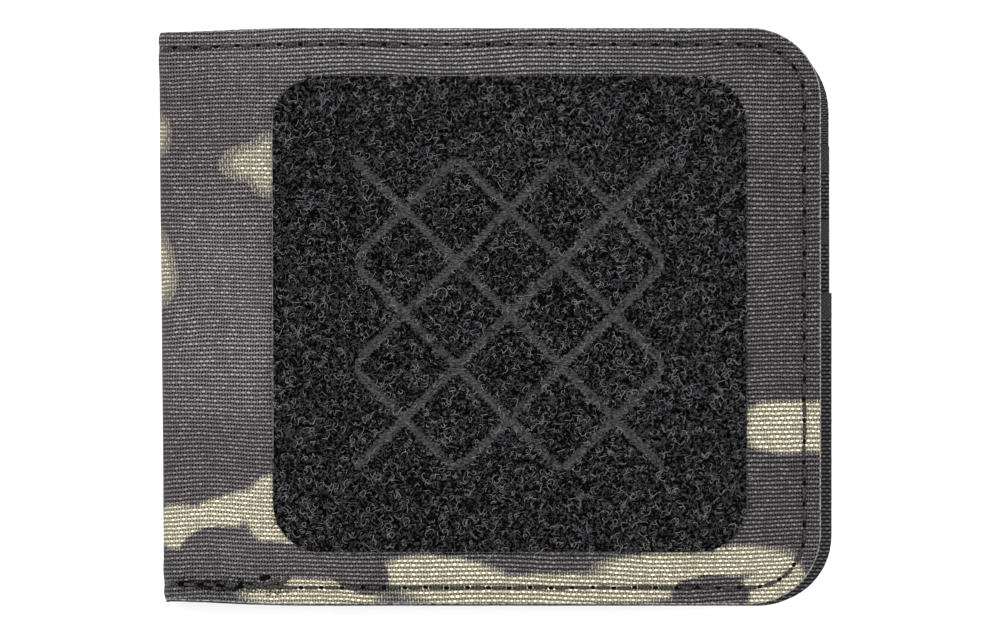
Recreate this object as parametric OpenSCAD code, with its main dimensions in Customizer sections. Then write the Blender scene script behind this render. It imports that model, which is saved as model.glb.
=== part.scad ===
// Three-leaf fabric wallet, closed and lying on its rear half.
// X runs from the spine to the free edge, Y from the bottom edge to the top edge, Z through the layers.
// The origin is at the centre of the face that it lies on.
// The outer shell is one cloth on the real wallet. It is three plates here, which turn about the two spine folds.

/* [Closed wallet] */
// Width from the spine's outer face to the free edge
closed_w = 109; // [100:1:130]
// Height of the rear half and the spine
closed_h = 94.2; // [88:0.2:112]
// Corner radius at the free edge
corner_r = 11.5; // [6:0.5:18]
// How far the front half stops short of the rear half at the free edge
front_inset = 1.2; // [0.6:0.1:3]
// How far the front half's bottom edge lies above the rear half's
front_lift = 0.5; // [0:0.1:2]

/* [Cloth] */
// Thickness of the outer shell's woven nylon
shell_t = 0.6; // [0.4:0.05:1]
// Thickness of the lining bonded inside the shell
lining_t = 0.3; // [0.2:0.05:0.5]
// Thickness of the wall between the bill compartment and the card slots
divider_t = 0.4; // [0.3:0.05:0.8]
// Thickness of one card slot's cloth
slot_t = 0.5; // [0.3:0.05:0.8]
// Thickness that a taped hem adds
hem_t = 0.3; // [0.2:0.05:0.5]
// Thickness of the clear window film
film_t = 0.25; // [0.15:0.05:0.4]
// Free height inside the empty bill compartment
bill_gap = 0.8; // [0.5:0.1:1.5]

/* [Bill compartment] */
// How far the dividing wall's top edge lies below the shell's
divider_drop = 4; // [2:0.5:8]
// Width of the sewn edge that closes the compartment
bill_seam_w = 3.6; // [3:0.1:6]

/* [Card slots] */
// Distance from the spine to the slots' inner edge
slot_start = 7; // [5:0.5:12]
// How far the highest slot's top edge lies below the dividing wall's
slot_drop = 15.2; // [8:0.2:18]
// Step from one slot's top edge to the next
slot_step = 12; // [9:0.5:13]
// How far the slots' sewn edge stands proud of the shell's
slot_proud = 0.25; // [0.1:0.05:0.5]
// Depth of the taped hem along a slot's top edge
hem_h = 4; // [3:0.5:6]

/* [Front window] */
// Border of cloth round the window in the front half's lowest slot
window_border = 9; // [7:0.5:12]

/* [Centre leaf] */
// How far the leaf's free edge lies inside the rear half's
leaf_inset = 7.75; // [4:0.25:12]
// Height of the leaf
leaf_h = 68; // [64:1:72]
// Height of the leaf's bottom edge above the rear half's
leaf_lift = 10; // [6:1:14]
// Corner radius at the leaf's free edge
leaf_r = 6; // [4:0.5:8]
// Border of cloth round the leaf's windows
leaf_border = 9; // [7:0.5:11]
// Free height inside the leaf's empty pocket
leaf_gap = 0.4; // [0.2:0.1:0.8]
// Thickness of the tape that binds the leaf's edge
binding_t = 0.25; // [0.15:0.05:0.4]
// Width of that tape on each face
binding_w = 4; // [3:0.5:5]
// Width of the thumb slot in each leaf window
thumb_w = 18; // [14:1:24]
// Height of that slot
thumb_h = 9; // [6:1:12]

/* [Loop panel] */
// Distance from the spine's outer face to the panel of loop pile
loop_spine_gap = 18.3; // [12:0.1:24]
// Distance from the front half's free edge to the panel
loop_free_gap = 12; // [10:0.5:20]
// Distance from the top edge to the panel
loop_top_gap = 7.8; // [6:0.1:14]
// Distance from the bottom edge to the panel
loop_bottom_gap = 8.4; // [6:0.1:14]
// Corner radius of the panel
loop_r = 8; // [3:0.5:10]
// Thickness of the panel's woven ground
ground_t = 0.4; // [0.3:0.05:0.6]
// Height of the loop pile
pile_t = 0.9; // [0.6:0.1:1.4]
// How far the diamond quilting stays inside the panel's edge
quilt_margin = 13; // [8:1:20]
// Distance between the quilting's parallel grooves
quilt_pitch = 12; // [9:0.5:16]
// Width of a groove
groove_w = 1.6; // [1.2:0.1:2.5]
// Depth of a groove
groove_d = 0.4; // [0.2:0.1:0.5]

/* [Seams] */
// Distance from a half's edge to its seam
seam_inset = 2.7; // [2.2:0.1:3.2]
// Width of the channel that the seam pulls into the shell
channel_w = 1; // [0.8:0.1:1.4]
// Depth of that channel
channel_d = 0.25; // [0.15:0.05:0.3]
// Distance from one stitch to the next
stitch_pitch = 3.4; // [2.8:0.1:4]
// Length of the thread that shows in one stitch
stitch_l = 2.5; // [2:0.1:2.6]
// Width of the thread
thread_w = 0.45; // [0.3:0.05:0.6]
// Height of the thread
thread_h = 0.15; // [0.1:0.05:0.2]
// Distance from the spine to the bar tack in the front's bottom seam
tack_x = 18; // [14:0.5:30]
// Length of the bar tack
tack_l = 4.2; // [3:0.1:6]

/* [Fits] */
// Running gap between two leaves
leaf_clear = 0.3; // [0.2:0.05:0.5]
// Gap at a fold between plates that turn against each other
fold_clear = 0.35; // [0.3:0.05:0.5]
// Radius of the shell's outer corner at a fold
fold_r = 1.5; // [1:0.1:2]

/* [Hidden] */
$fn = 64;
eps = 0.01;

// Heights of the layers above a half's outer face
lining_z = shell_t;
bill_z = lining_z + lining_t;
divider_z = bill_z + bill_gap;
slot_high_z = divider_z + divider_t;
slot_mid_z = slot_high_z + slot_t;
rear_low_z = slot_mid_z + slot_t;
film_z = slot_mid_z + slot_t;
front_low_z = film_z + film_t;
rear_t = rear_low_z + slot_t + hem_t;
front_t = front_low_z + slot_t + hem_t;

// The leaf's layers, and the closed stack
leaf_core_t = 2*slot_t + 2*film_t + leaf_gap;
leaf_t = leaf_core_t + 2*binding_t;
leaf_z = rear_t + leaf_clear;
closed_t = leaf_z + leaf_t + leaf_clear + front_t;
leaf_mid_z = leaf_z + leaf_t/2;

// Each half's shell: [free edge, bottom edge, top edge]
rear_half = [closed_w - slot_proud, -closed_h/2, closed_h/2];
front_half = [closed_w - slot_proud - front_inset, -closed_h/2 + front_lift, closed_h/2];

// Plates that meet at a fold are mitred at 45 degrees, this far along a face from the mitre's middle
mitre = fold_clear*sqrt(2);

// Top edges of the slots, above the bottom edge
slot_bottom = 0.4;
slot_high_top = closed_h - divider_drop - slot_drop;
slot_mid_top = slot_high_top - slot_step;
slot_low_top = slot_mid_top - slot_step;

// The leaf hangs on a tape sewn to the spine's dividing wall
tape_h = 5;
tape_t = 0.4;
tab_x = slot_high_z + tape_t + leaf_clear;
tab_l = 7.2;
tab_t = 0.5;
leaf_x = tab_x + tab_l - binding_w;
leaf_w = closed_w - slot_proud - leaf_inset - leaf_x;
leaf_bottom = -closed_h/2 + leaf_lift;

// Colours
camo_c = [0.27, 0.25, 0.26];
black_c = [0.09, 0.09, 0.10];
lining_c = [0.13, 0.13, 0.14];
thread_c = [0.05, 0.05, 0.05];
film_c = [0.80, 0.86, 0.90, 0.35];

// Puts what is measured from the spine's outer face at the origin.
module wallet() {
  translate([-closed_w/2, 0, 0]) children();
}

// The front half is drawn from its own outer face too, and turned over.
module front() {
  wallet() translate([0, 0, closed_t]) mirror([0, 0, 1]) children();
}

// Flat outline from x0 to x1 and y0 to y1, with its free-edge corners rounded.
module outline(x0, x1, y0, y1, r_low, r_high) {
  r = max(r_low, r_high);
  translate([x0, y0]) square([x1 - r - x0, y1 - y0]);
  translate([x1 - r - eps, y0 + r_low]) square([r + eps, y1 - y0 - r_low - r_high]);
  if (r_low > 0) translate([x1 - r_low, y0 + r_low]) circle(r_low);
  if (r_high > 0) translate([x1 - r_high, y1 - r_high]) circle(r_high);
}

// A half's outline from x0, moved in from the shell's edge by inset.
module half_outline(half, x0, inset = 0, top_drop = 0) {
  outline(x0, half[0] - inset, half[1] + inset, half[2] - inset - top_drop,
    corner_r - inset, corner_r - inset);
}

// The U-shaped band that a seam of width w takes along a half's bottom, free edge and top.
module seam_band(half, x0, w) {
  difference() {
    half_outline(half, x0, seam_inset - w/2);
    translate([-eps, 0]) half_outline(half, x0, seam_inset + w/2);
  }
}

// ---- Pieces that both halves have ----

// A layer from z up, with its edge at the fold mitred.
module mitred_layer(z, t) {
  far = z + t + mitre;
  difference() {
    translate([0, 0, z]) linear_extrude(t) children();
    along_y() polygon([[-1, -1 - mitre], [-1, far], [far + eps, far - mitre + eps], [mitre - 1, -1]]);
  }
}

// Turns a flat X-Z outline into a bar that is longer than the wallet is high.
module along_y() {
  translate([0, closed_h, 0]) rotate([90, 0, 0]) linear_extrude(2*closed_h) children();
}

// What the shell's rounded corner leaves of a sharp one.
module corner_waste() {
  along_y() difference() {
    translate([-1, -1]) square(fold_r + 1);
    translate([fold_r, fold_r]) circle(fold_r);
  }
}

// Outer cloth, with its seam's channel.
module shell_plate(half) {
  difference() {
    mitred_layer(0, shell_t) half_outline(half, 0);
    translate([0, 0, -eps]) linear_extrude(channel_d + eps) seam_band(half, -eps, channel_w);
    corner_waste();
  }
}

module lining_plate(half) {
  mitred_layer(lining_z, lining_t) half_outline(half, 0, 0.2);
}

// Sewn edge that joins the lining to the dividing wall along the bottom and the free edge.
module bill_seam(half) {
  mouth_y = half[2] - divider_drop;
  mitred_layer(bill_z, bill_gap) difference() {
    half_outline(half, 0, 0.3);
    half_outline(half, -eps, bill_seam_w);
    translate([0, mouth_y]) square([closed_w, divider_drop]);
    translate([0, half[2] - corner_r]) square([half[0] - corner_r, corner_r]);
  }
}

module divider_plate(half) {
  mitred_layer(divider_z, divider_t) half_outline(half, 0, 0.2, divider_drop);
}

// Tape along the dividing wall's top edge.
module divider_hem(half) {
  y1 = half[2] - 0.2 - divider_drop;
  translate([slot_start, y1 - hem_h, slot_high_z])
    cube([half[0] - corner_r - slot_start, hem_h, hem_t]);
}

// One card slot's cloth, from its seam at the bottom edge up to its open top edge.
module slot_outline(half, top) {
  x1 = half[0] + slot_proud;
  y0 = half[1] + slot_bottom;
  outline(slot_start, x1, y0, half[1] + top, corner_r - slot_bottom, 0);
}

module slot_plate(half, z, top) {
  translate([0, 0, z]) linear_extrude(slot_t) slot_outline(half, top);
}

// Tape over a slot's top edge.
module slot_hem(half, z, top) {
  translate([slot_start, half[1] + top - hem_h, z + slot_t])
    cube([half[0] - slot_start, hem_h, hem_t]);
}

// ---- Stitches ----

// One stitch's thread, lying along X on the plane z = 0.
module stitch() {
  translate([-stitch_l/2, -thread_w/2, 0]) cube([stitch_l, thread_w, thread_h]);
}

// A straight row of stitches that starts at p, runs for l at angle a, and holds whole stitches.
module stitch_row(p, l, a) {
  n = floor(l/stitch_pitch);
  first = (l - (n - 1)*stitch_pitch)/2;
  translate(p) rotate(a) for (i = [0:1:n - 1])
    translate([first + i*stitch_pitch, 0, 0]) stitch();
}

// Stitches round a quarter corner of radius r about c, between angles a0 and a0 + 90.
module stitch_corner(c, r, a0) {
  n = max(1, floor(r*PI/2/stitch_pitch));
  for (i = [0:n - 1]) let (a = a0 + 90*(i + 0.5)/n)
    translate(c) rotate(a) translate([r, 0, 0]) rotate(90) stitch();
}

// A half's seam along its bottom, free edge and top, lying in the shell's channel.
module shell_stitches(half) {
  z = channel_d - thread_h;
  r = corner_r - seam_inset;
  x_turn = half[0] - corner_r;
  y_low = half[1] + seam_inset;
  y_high = half[2] - seam_inset;
  straight = x_turn - fold_r;
  stitch_row([fold_r, y_low, z], straight, 0);
  stitch_row([fold_r, y_high, z], straight, 0);
  stitch_row([half[0] - seam_inset, y_low + r, z], y_high - y_low - 2*r, 90);
  stitch_corner([x_turn, half[1] + corner_r, z], r, -90);
  stitch_corner([x_turn, half[2] - corner_r, z], r, 0);
}

// Rows down both sides of the slots and along their bottom, each on the cloth that lies there.
module slot_stitches(half, low_z) {
  x_in = slot_start + 1.6;
  x_out = half[0] - seam_inset;
  corner_y = half[1] + corner_r;
  hem_gap = hem_h + 0.6;
  rows = [
    [low_z + slot_t, corner_y, slot_low_top - corner_r - hem_gap],
    [slot_mid_z + slot_t, half[1] + slot_low_top + 0.4, slot_step - hem_gap],
    [slot_high_z + slot_t, half[1] + slot_mid_top + 0.4, slot_step - hem_gap]
  ];
  for (row = rows, x = [x_in, x_out])
    stitch_row([x, row[1], row[0]], row[2], 90);
  stitch_row([slot_start + 3, half[1] + seam_inset, low_z + slot_t],
    half[0] - corner_r - slot_start - 3, 0);
  stitch_corner([half[0] - corner_r, corner_y, low_z + slot_t], corner_r - seam_inset, -90);
}

// ---- Rear half ----

module rear_shell() { color(camo_c) wallet() shell_plate(rear_half); }
module rear_lining() { color(lining_c) wallet() lining_plate(rear_half); }
module rear_bill_seam() { color(black_c) wallet() bill_seam(rear_half); }
module rear_divider() { color(lining_c) wallet() divider_plate(rear_half); }
module rear_divider_hem() { color(black_c) wallet() divider_hem(rear_half); }
module rear_slot_high() { color(black_c) wallet() slot_plate(rear_half, slot_high_z, slot_high_top); }
module rear_slot_mid() { color(black_c) wallet() slot_plate(rear_half, slot_mid_z, slot_mid_top); }
module rear_slot_low() { color(black_c) wallet() slot_plate(rear_half, rear_low_z, slot_low_top); }

module rear_slot_hems() {
  color(black_c) wallet() {
    slot_hem(rear_half, slot_high_z, slot_high_top);
    slot_hem(rear_half, slot_mid_z, slot_mid_top);
    slot_hem(rear_half, rear_low_z, slot_low_top);
  }
}

module rear_shell_stitches() { color(thread_c) wallet() shell_stitches(rear_half); }
module rear_slot_stitches() { color(thread_c) wallet() slot_stitches(rear_half, rear_low_z); }

// ---- Spine ----

// A plate of the spine, between x and x + t, mitred at both folds.
module spine_plate(x, t, y0, y1) {
  near = x + mitre;
  translate([0, y1, 0]) rotate([90, 0, 0]) linear_extrude(y1 - y0)
    polygon([[x, near], [x + t, near + t], [x + t, closed_t - near - t], [x, closed_t - near]]);
}

module spine_shell() {
  color(camo_c) wallet() difference() {
    spine_plate(0, shell_t, -closed_h/2, closed_h/2);
    for (side = [-1, 1])
      translate([-eps, side*(closed_h/2 - seam_inset) - channel_w/2, 0])
        cube([channel_d + eps, channel_w, closed_t]);
    corner_waste();
    translate([0, 0, closed_t]) mirror([0, 0, 1]) corner_waste();
  }
}

module spine_lining() {
  color(lining_c) wallet()
    spine_plate(lining_z, lining_t, -closed_h/2 + 0.2, closed_h/2 - 0.2);
}

module spine_divider() {
  color(lining_c) wallet()
    spine_plate(divider_z, divider_t, -closed_h/2 + 0.2, closed_h/2 - 0.2 - divider_drop);
}

// The two ends of the shell's seam, where it crosses the spine.
module spine_stitches() {
  run = closed_t - 2*fold_r;
  color(thread_c) wallet() for (side = [-1, 1])
    translate([channel_d - thread_h, side*(closed_h/2 - seam_inset), fold_r])
      rotate([0, -90, 0]) mirror([0, 0, 1]) stitch_row([0, 0, 0], run, 0);
}

module leaf_hinge_tape() {
  color(black_c) wallet()
    translate([slot_high_z, leaf_bottom, leaf_mid_z - tape_h/2])
      cube([tape_t, leaf_h, tape_h]);
}

// ---- Centre leaf ----

// The leaf's outline, grown by out.
module leaf_outline(out = 0) {
  outline(leaf_x, leaf_x + leaf_w + out, leaf_bottom - out, leaf_bottom + leaf_h,
    leaf_r + out, leaf_r + out);
}

// The opening that a window shows through.
module leaf_opening() {
  translate([leaf_x + leaf_border, leaf_bottom + leaf_border])
    square([leaf_w - 2*leaf_border, leaf_h - 2*leaf_border]);
}

// A layer of the leaf, from z up from its rear face.
module leaf_layer(z, t) {
  wallet() translate([0, 0, leaf_z + binding_t + z]) linear_extrude(t) children();
}

module leaf_frame(z) {
  color(black_c) leaf_layer(z, slot_t) difference() {
    leaf_outline();
    leaf_opening();
  }
}

// Clear film, with a thumb slot low in its middle that pushes a card out.
module leaf_window(z) {
  r = thumb_h/2;
  mid_x = leaf_x + leaf_w/2;
  slot_y = leaf_bottom + leaf_border + 2 + r;
  color(film_c) leaf_layer(z, film_t) difference() {
    leaf_outline(-0.5);
    translate([mid_x - thumb_w/2 + r, slot_y - r]) square([thumb_w - 2*r, 2*r]);
    for (side = [-1, 1]) translate([mid_x + side*(thumb_w/2 - r), slot_y]) circle(r);
  }
}

module leaf_rear_frame() { leaf_frame(0); }
module leaf_rear_window() { leaf_window(slot_t); }
module leaf_front_window() { leaf_window(slot_t + film_t + leaf_gap); }
module leaf_front_frame() { leaf_frame(slot_t + 2*film_t + leaf_gap); }

// Three strips that close the leaf's pocket; its top edge stays open.
module leaf_side_seams() {
  w = 3;
  color(black_c) leaf_layer(slot_t + film_t, leaf_gap) {
    translate([leaf_x, leaf_bottom + w + 0.1]) square([w, leaf_h - w - 1]);
    translate([leaf_x, leaf_bottom + 0.6]) square([leaf_w - leaf_r, w - 0.6]);
    translate([leaf_x + leaf_w - w, leaf_bottom + leaf_r]) square([w - 0.6, leaf_h - 2*leaf_r]);
  }
}

// Tape folded over the leaf's bottom and free edges.
module leaf_binding() {
  inner = binding_w - binding_t;
  color(black_c) {
    wallet() translate([0, 0, leaf_z]) linear_extrude(leaf_t) binding_band(0);
    for (z = [leaf_z, leaf_z + leaf_t - binding_t])
      wallet() translate([0, 0, z]) linear_extrude(binding_t) binding_band(inner);
  }
}

// The band that the tape covers, from its outer edge to inner inside the leaf's outline.
module binding_band(inner) {
  x0 = leaf_x + binding_w;
  difference() {
    outline(x0, leaf_x + leaf_w + binding_t, leaf_bottom - binding_t, leaf_bottom + leaf_h,
      leaf_r + binding_t, leaf_r);
    outline(x0 - eps, leaf_x + leaf_w - inner, leaf_bottom + inner, leaf_bottom + leaf_h + eps,
      max(leaf_r - inner, 0.5), max(leaf_r - inner, 0.5));
  }
}

// Tape along each side of the pocket's mouth.
module leaf_mouth_hems() {
  l = leaf_w - leaf_r - binding_w;
  color(black_c) wallet() for (z = [leaf_z, leaf_z + leaf_t - binding_t])
    translate([leaf_x + binding_w, leaf_bottom + leaf_h - hem_h - 0.2, z])
      cube([l - binding_w, hem_h, binding_t]);
}

// Doubled tab with a rolled edge that the leaf turns on, lapped over the leaf on both faces.
module leaf_hinge_tab() {
  color(black_c) wallet() {
    translate([tab_x + tab_t/2, leaf_bottom, leaf_mid_z]) rotate([-90, 0, 0])
      cylinder(h = leaf_h, d = tab_t);
    translate([tab_x + tab_t/2, leaf_bottom, leaf_mid_z - tab_t/2])
      cube([leaf_x - tab_x - tab_t/2 - 0.05, leaf_h, tab_t]);
    for (z = [leaf_z, leaf_z + leaf_t - binding_t])
      translate([leaf_x - 0.8, leaf_bottom, z])
        cube([binding_w + 0.5, leaf_h, binding_t]);
    translate([leaf_x - 0.8, leaf_bottom, leaf_z])
      cube([0.75, leaf_h, leaf_t]);
  }
}

module leaf_stitches() {
  inset = binding_w/2;
  x_out = leaf_x + leaf_w - inset;
  y_low = leaf_bottom + inset;
  color(thread_c) wallet() for (face = [0, 1])
    translate([0, 0, leaf_mid_z]) mirror([0, 0, face])
      translate([0, 0, leaf_t/2 - thread_h/2]) intersection() {
        union() {
          stitch_row([leaf_x + binding_w + 1, y_low, 0], leaf_w - leaf_r - binding_w - 1, 0);
          stitch_row([x_out, leaf_bottom + leaf_r, 0], leaf_h - 2*leaf_r, 90);
        }
        translate([0, -closed_h, thread_h/2]) cube([2*closed_w, 2*closed_h, 1]);
      }
}

// ---- Front half ----

module front_shell() { color(camo_c) front() shell_plate(front_half); }
module front_lining() { color(lining_c) front() lining_plate(front_half); }
module front_bill_seam() { color(black_c) front() bill_seam(front_half); }
module front_divider() { color(lining_c) front() divider_plate(front_half); }
module front_divider_hem() { color(black_c) front() divider_hem(front_half); }
module front_slot_high() { color(black_c) front() slot_plate(front_half, slot_high_z, slot_high_top); }
module front_slot_mid() { color(black_c) front() slot_plate(front_half, slot_mid_z, slot_mid_top); }

// Clear film behind the frame of the front half's lowest slot.
module front_id_window() {
  color(film_c) front() translate([0, 0, film_z]) linear_extrude(film_t)
    slot_outline(front_half, slot_low_top);
}

module front_id_frame() {
  color(black_c) front() translate([0, 0, front_low_z]) linear_extrude(slot_t) difference() {
    slot_outline(front_half, slot_low_top);
    translate([slot_start + window_border, front_half[1] + window_border])
      square([front_half[0] - slot_start - 2*window_border, slot_low_top - 2*window_border]);
  }
}

module front_slot_hems() {
  color(black_c) front() {
    slot_hem(front_half, slot_high_z, slot_high_top);
    slot_hem(front_half, slot_mid_z, slot_mid_top);
    slot_hem(front_half, front_low_z, slot_low_top);
  }
}

module front_shell_stitches() { color(thread_c) front() shell_stitches(front_half); }

// Thread sewn back and forth on the cloth beside the bottom seam, where the seam's ends meet.
module front_seam_tack() {
  color(thread_c) front()
    translate([tack_x, front_half[1] + seam_inset + channel_w/2, -thread_h])
      for (i = [0, 1]) translate([i*0.5, i*thread_w, 0]) cube([tack_l, thread_w, thread_h]);
}

module front_slot_stitches() { color(thread_c) front() slot_stitches(front_half, front_low_z); }

// ---- Loop panel ----

loop_x0 = loop_spine_gap;
loop_x1 = front_half[0] - loop_free_gap;
loop_y0 = front_half[1] + loop_bottom_gap;
loop_y1 = front_half[2] - loop_top_gap;

module loop_outline() {
  for (x = [loop_x0 + loop_r, loop_x1 - loop_r], y = [loop_y0 + loop_r, loop_y1 - loop_r])
    translate([x, y]) circle(loop_r);
  translate([loop_x0 + loop_r, loop_y0]) square([loop_x1 - loop_x0 - 2*loop_r, loop_y1 - loop_y0]);
  translate([loop_x0, loop_y0 + loop_r]) square([loop_x1 - loop_x0, loop_y1 - loop_y0 - 2*loop_r]);
}

// Woven ground bonded to the shell.
module loop_ground() {
  color(black_c) wallet() translate([0, 0, closed_t]) linear_extrude(ground_t) loop_outline();
}

// Diagonal grooves that cross in diamonds.
module quilting() {
  w = loop_x1 - loop_x0 - 2*quilt_margin;
  h = loop_y1 - loop_y0 - 2*quilt_margin;
  n = floor((w + h)/sqrt(8)/quilt_pitch);
  intersection() {
    translate([-w/2, -h/2]) square([w, h]);
    for (a = [45, -45], i = [-n:n])
      rotate(a) translate([-w - h, i*quilt_pitch - groove_w/2]) square([2*(w + h), groove_w]);
  }
}

// Loop pile with the quilting pressed into it.
module loop_pile() {
  top_z = closed_t + ground_t + pile_t;
  color(black_c) wallet() difference() {
    translate([0, 0, closed_t + ground_t]) linear_extrude(pile_t) loop_outline();
    translate([(loop_x0 + loop_x1)/2, (loop_y0 + loop_y1)/2, top_z - groove_d])
      linear_extrude(groove_d + eps) quilting();
  }
}

rear_shell();
rear_lining();
rear_bill_seam();
rear_divider();
rear_divider_hem();
rear_slot_high();
rear_slot_mid();
rear_slot_low();
rear_slot_hems();
rear_shell_stitches();
rear_slot_stitches();
spine_shell();
spine_lining();
spine_divider();
spine_stitches();
leaf_hinge_tape();
leaf_hinge_tab();
leaf_rear_frame();
leaf_rear_window();
leaf_side_seams();
leaf_front_window();
leaf_front_frame();
leaf_binding();
leaf_mouth_hems();
leaf_stitches();
front_shell();
front_lining();
front_bill_seam();
front_divider();
front_divider_hem();
front_slot_high();
front_slot_mid();
front_id_window();
front_id_frame();
front_slot_hems();
front_shell_stitches();
front_seam_tack();
front_slot_stitches();
loop_ground();
loop_pile();
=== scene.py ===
"""A closed three-leaf wallet in camouflage nylon with a loop panel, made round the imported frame.

Cloth is laid out flat first: g runs round the wallet from the middle of the spine to the free
edge, and y from the bottom edge to the top. Each piece is then wrapped on to the closed wallet.
"""
import math

import bmesh
import bpy
import numpy as np
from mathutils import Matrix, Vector, noise


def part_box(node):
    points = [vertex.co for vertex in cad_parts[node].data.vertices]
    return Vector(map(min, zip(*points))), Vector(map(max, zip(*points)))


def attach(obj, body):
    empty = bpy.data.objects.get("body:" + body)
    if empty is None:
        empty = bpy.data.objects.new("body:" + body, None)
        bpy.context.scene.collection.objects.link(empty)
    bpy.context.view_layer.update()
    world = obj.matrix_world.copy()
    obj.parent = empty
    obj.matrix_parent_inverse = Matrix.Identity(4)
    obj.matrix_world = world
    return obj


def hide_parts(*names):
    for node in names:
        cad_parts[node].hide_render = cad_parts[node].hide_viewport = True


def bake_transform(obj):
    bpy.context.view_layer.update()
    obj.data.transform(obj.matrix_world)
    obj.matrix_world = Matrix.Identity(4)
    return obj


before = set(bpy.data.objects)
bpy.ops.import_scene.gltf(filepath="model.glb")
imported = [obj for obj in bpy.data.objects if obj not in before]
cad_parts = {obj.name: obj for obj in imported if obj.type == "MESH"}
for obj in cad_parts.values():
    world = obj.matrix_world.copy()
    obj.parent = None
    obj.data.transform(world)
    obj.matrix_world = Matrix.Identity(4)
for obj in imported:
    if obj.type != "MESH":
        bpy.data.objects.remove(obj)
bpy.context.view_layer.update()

MM = 0.001
PI = math.pi

# ---- Sizes that the frame gives ----

shell_low, shell_high = {}, {}
for half in ("front", "rear"):
    shell_low[half], shell_high[half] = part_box(f"{half}_shell")
spine_low, spine_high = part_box("spine_shell")
panel_low, panel_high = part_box("loop_ground")
frame_low, frame_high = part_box("leaf_front_frame")
stack_top = shell_high["front"].z
middle_z = stack_top / 2
spine_x = spine_low.x
side_of = {"front": 1, "rear": -1}
# ---- Sizes of the cloth's own detail ----

FOLD_R = 3.0 * MM
CORNER_R = 11.5 * MM
SEAM_INSET = 2.7 * MM
STITCH_PITCH = 3.4 * MM
STITCH_LONG = 2.7 * MM
THREAD_R = 0.29 * MM
INNER_STITCH_LONG = 2.2 * MM
WARP_PITCH = 0.465 * MM
WEFT_PITCH = 0.70 * MM
# Along a cut, a lighter strip this wide shows: partly the nylon's coated back, partly painted sheen
# on the rounded edge.
CUT_EDGE = 0.18 * MM
# The inner cloths stop this far inside the shell.
INNER_INSET = 0.25 * MM
# Spacing of the points: on the shell, on plainer cloth and along a tape.
FINE_STEP = 0.6 * MM
STEP = 1.6 * MM
TAPE_STEP = 1.2 * MM
# The rear's free edge shows past the front's, and its lowest slot past the rear's.
REAR_OUT = 0.35 * MM
PROUD = 0.4 * MM
# The spine leans and narrows this much, which fades out over SPINE_REACH, and the rear's upper
# free corner lies back by TUCK.
LEAN = 0.9 * MM
NARROW = 0.7 * MM
TUCK = 1.35 * MM
SPINE_REACH = 30 * MM
# The halves' edges draw together by PINCH each, and the front's middle stands up by CROWN.
PINCH = 0.12 * MM
CROWN = 0.18 * MM

free_x = {"front": shell_high["front"].x, "rear": shell_high["rear"].x + REAR_OUT}

SPINE_HALF = middle_z - FOLD_R
FOLD_ARC = FOLD_R * PI / 2


def girth(x):
    """How far round the cloth a point of a half at x lies from the spine's middle."""
    return x - spine_x - FOLD_R + SPINE_HALF + FOLD_ARC


def smooth(a, b, t):
    """0 up to a, 1 from b on, with a soft rise between them."""
    t = np.clip((t - a) / (b - a), 0, 1)
    return t * t * (3 - 2 * t)


def hill(t, middle, width):
    """1 at the middle, falling to nothing at a few widths from it."""
    return np.exp(-((t - middle) / width) ** 2)


def ripple(x, y, scale, seed):
    """A slow wave over the cloth, from -1 to 1, that repeats nowhere on it."""
    phase = np.array([0.3, 1.9, 4.1]) + seed
    return (
        np.sin(x / scale + phase[0]) * np.cos(0.7 * y / scale + phase[1])
        + 0.6 * np.sin((0.6 * x + 1.3 * y) / scale + phase[2])
    ) / 1.6


def settle(points, share=0.5):
    """The spine leans in towards the bottom and is drawn a little shorter, as a soft fold is, and
    the rear's upper free corner lies back. Share is the part of the lean that a piece takes."""
    x, y, z = points.T
    near_spine = 1 - smooth(spine_x, spine_x + SPINE_REACH, x)
    height = y / (spine_high.y - spine_low.y)
    behind = 1 - smooth(middle_z - 2 * MM, middle_z - 1.5 * MM, z)
    corner = smooth(33 * MM, 44 * MM, y) * smooth(28 * MM, 42 * MM, x)
    out = points.copy()
    out[:, 0] = x + share * LEAN * near_spine * (0.35 - height) - TUCK * behind * corner
    out[:, 1] -= 2 * NARROW * near_spine ** 2 * height
    return out


def settled(x, y, z, share=0.5):
    return settle(np.stack([x, y, z + 0 * x], -1), share)


def wrap(half, g, y, depth):
    """Points of a half's cloth at depth below its outer face, and the outward normals."""
    side = side_of[half]
    g, y, depth = np.broadcast_arrays(g, y, depth)
    angle = np.clip((g - SPINE_HALF) / FOLD_ARC, 0, 1) * PI / 2
    flat = np.maximum(g - SPINE_HALF - FOLD_ARC, 0)
    radius = FOLD_R - depth
    x = spine_x + FOLD_R - radius * np.cos(angle) + flat
    z = middle_z + side * (np.minimum(g, SPINE_HALF) + radius * np.sin(angle))
    z = z + lift(half, x, y) * smooth(spine_x, spine_x + 12 * MM, x)
    normal = np.stack([-np.cos(angle), 0 * angle, side * np.sin(angle)], -1)
    share = 1 - 0.5 * smooth(0.9 * MM, 1.7 * MM, depth).reshape(-1)
    return settle(np.stack([x, y, z], -1).reshape(-1, 3), share), normal.reshape(-1, 3)


def lift(half, x, y):
    """How far a half's whole stack of cloth rides up from flat."""
    across = smooth(0, 25 * MM, free_x[half] - x)
    along = smooth(0, 20 * MM, 47 * MM - np.abs(y))
    if half == "rear":
        return PINCH * (1 - across * along)
    return (CROWN + PINCH) * across * along - PINCH + 0.07 * MM * ripple(x, y, 17 * MM, 2)


# ---- Flat cutting of cloth ----


def offsets(r):
    """Distances in from an edge at which the grid has a line, up to r."""
    near = np.arange(0.45, 4.2, 0.38) * MM
    far = np.linspace(4.6 * MM, r, 7) if r > 5 * MM else np.array([r])
    every = np.concatenate([[0, CUT_EDGE], near, far])
    return np.unique(np.round(every[every <= r + 1e-9], 7))


def spaced(a, b, step):
    n = max(1, round((b - a) / step))
    return np.unique(np.round(np.linspace(a, b, n + 1), 7))


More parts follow.
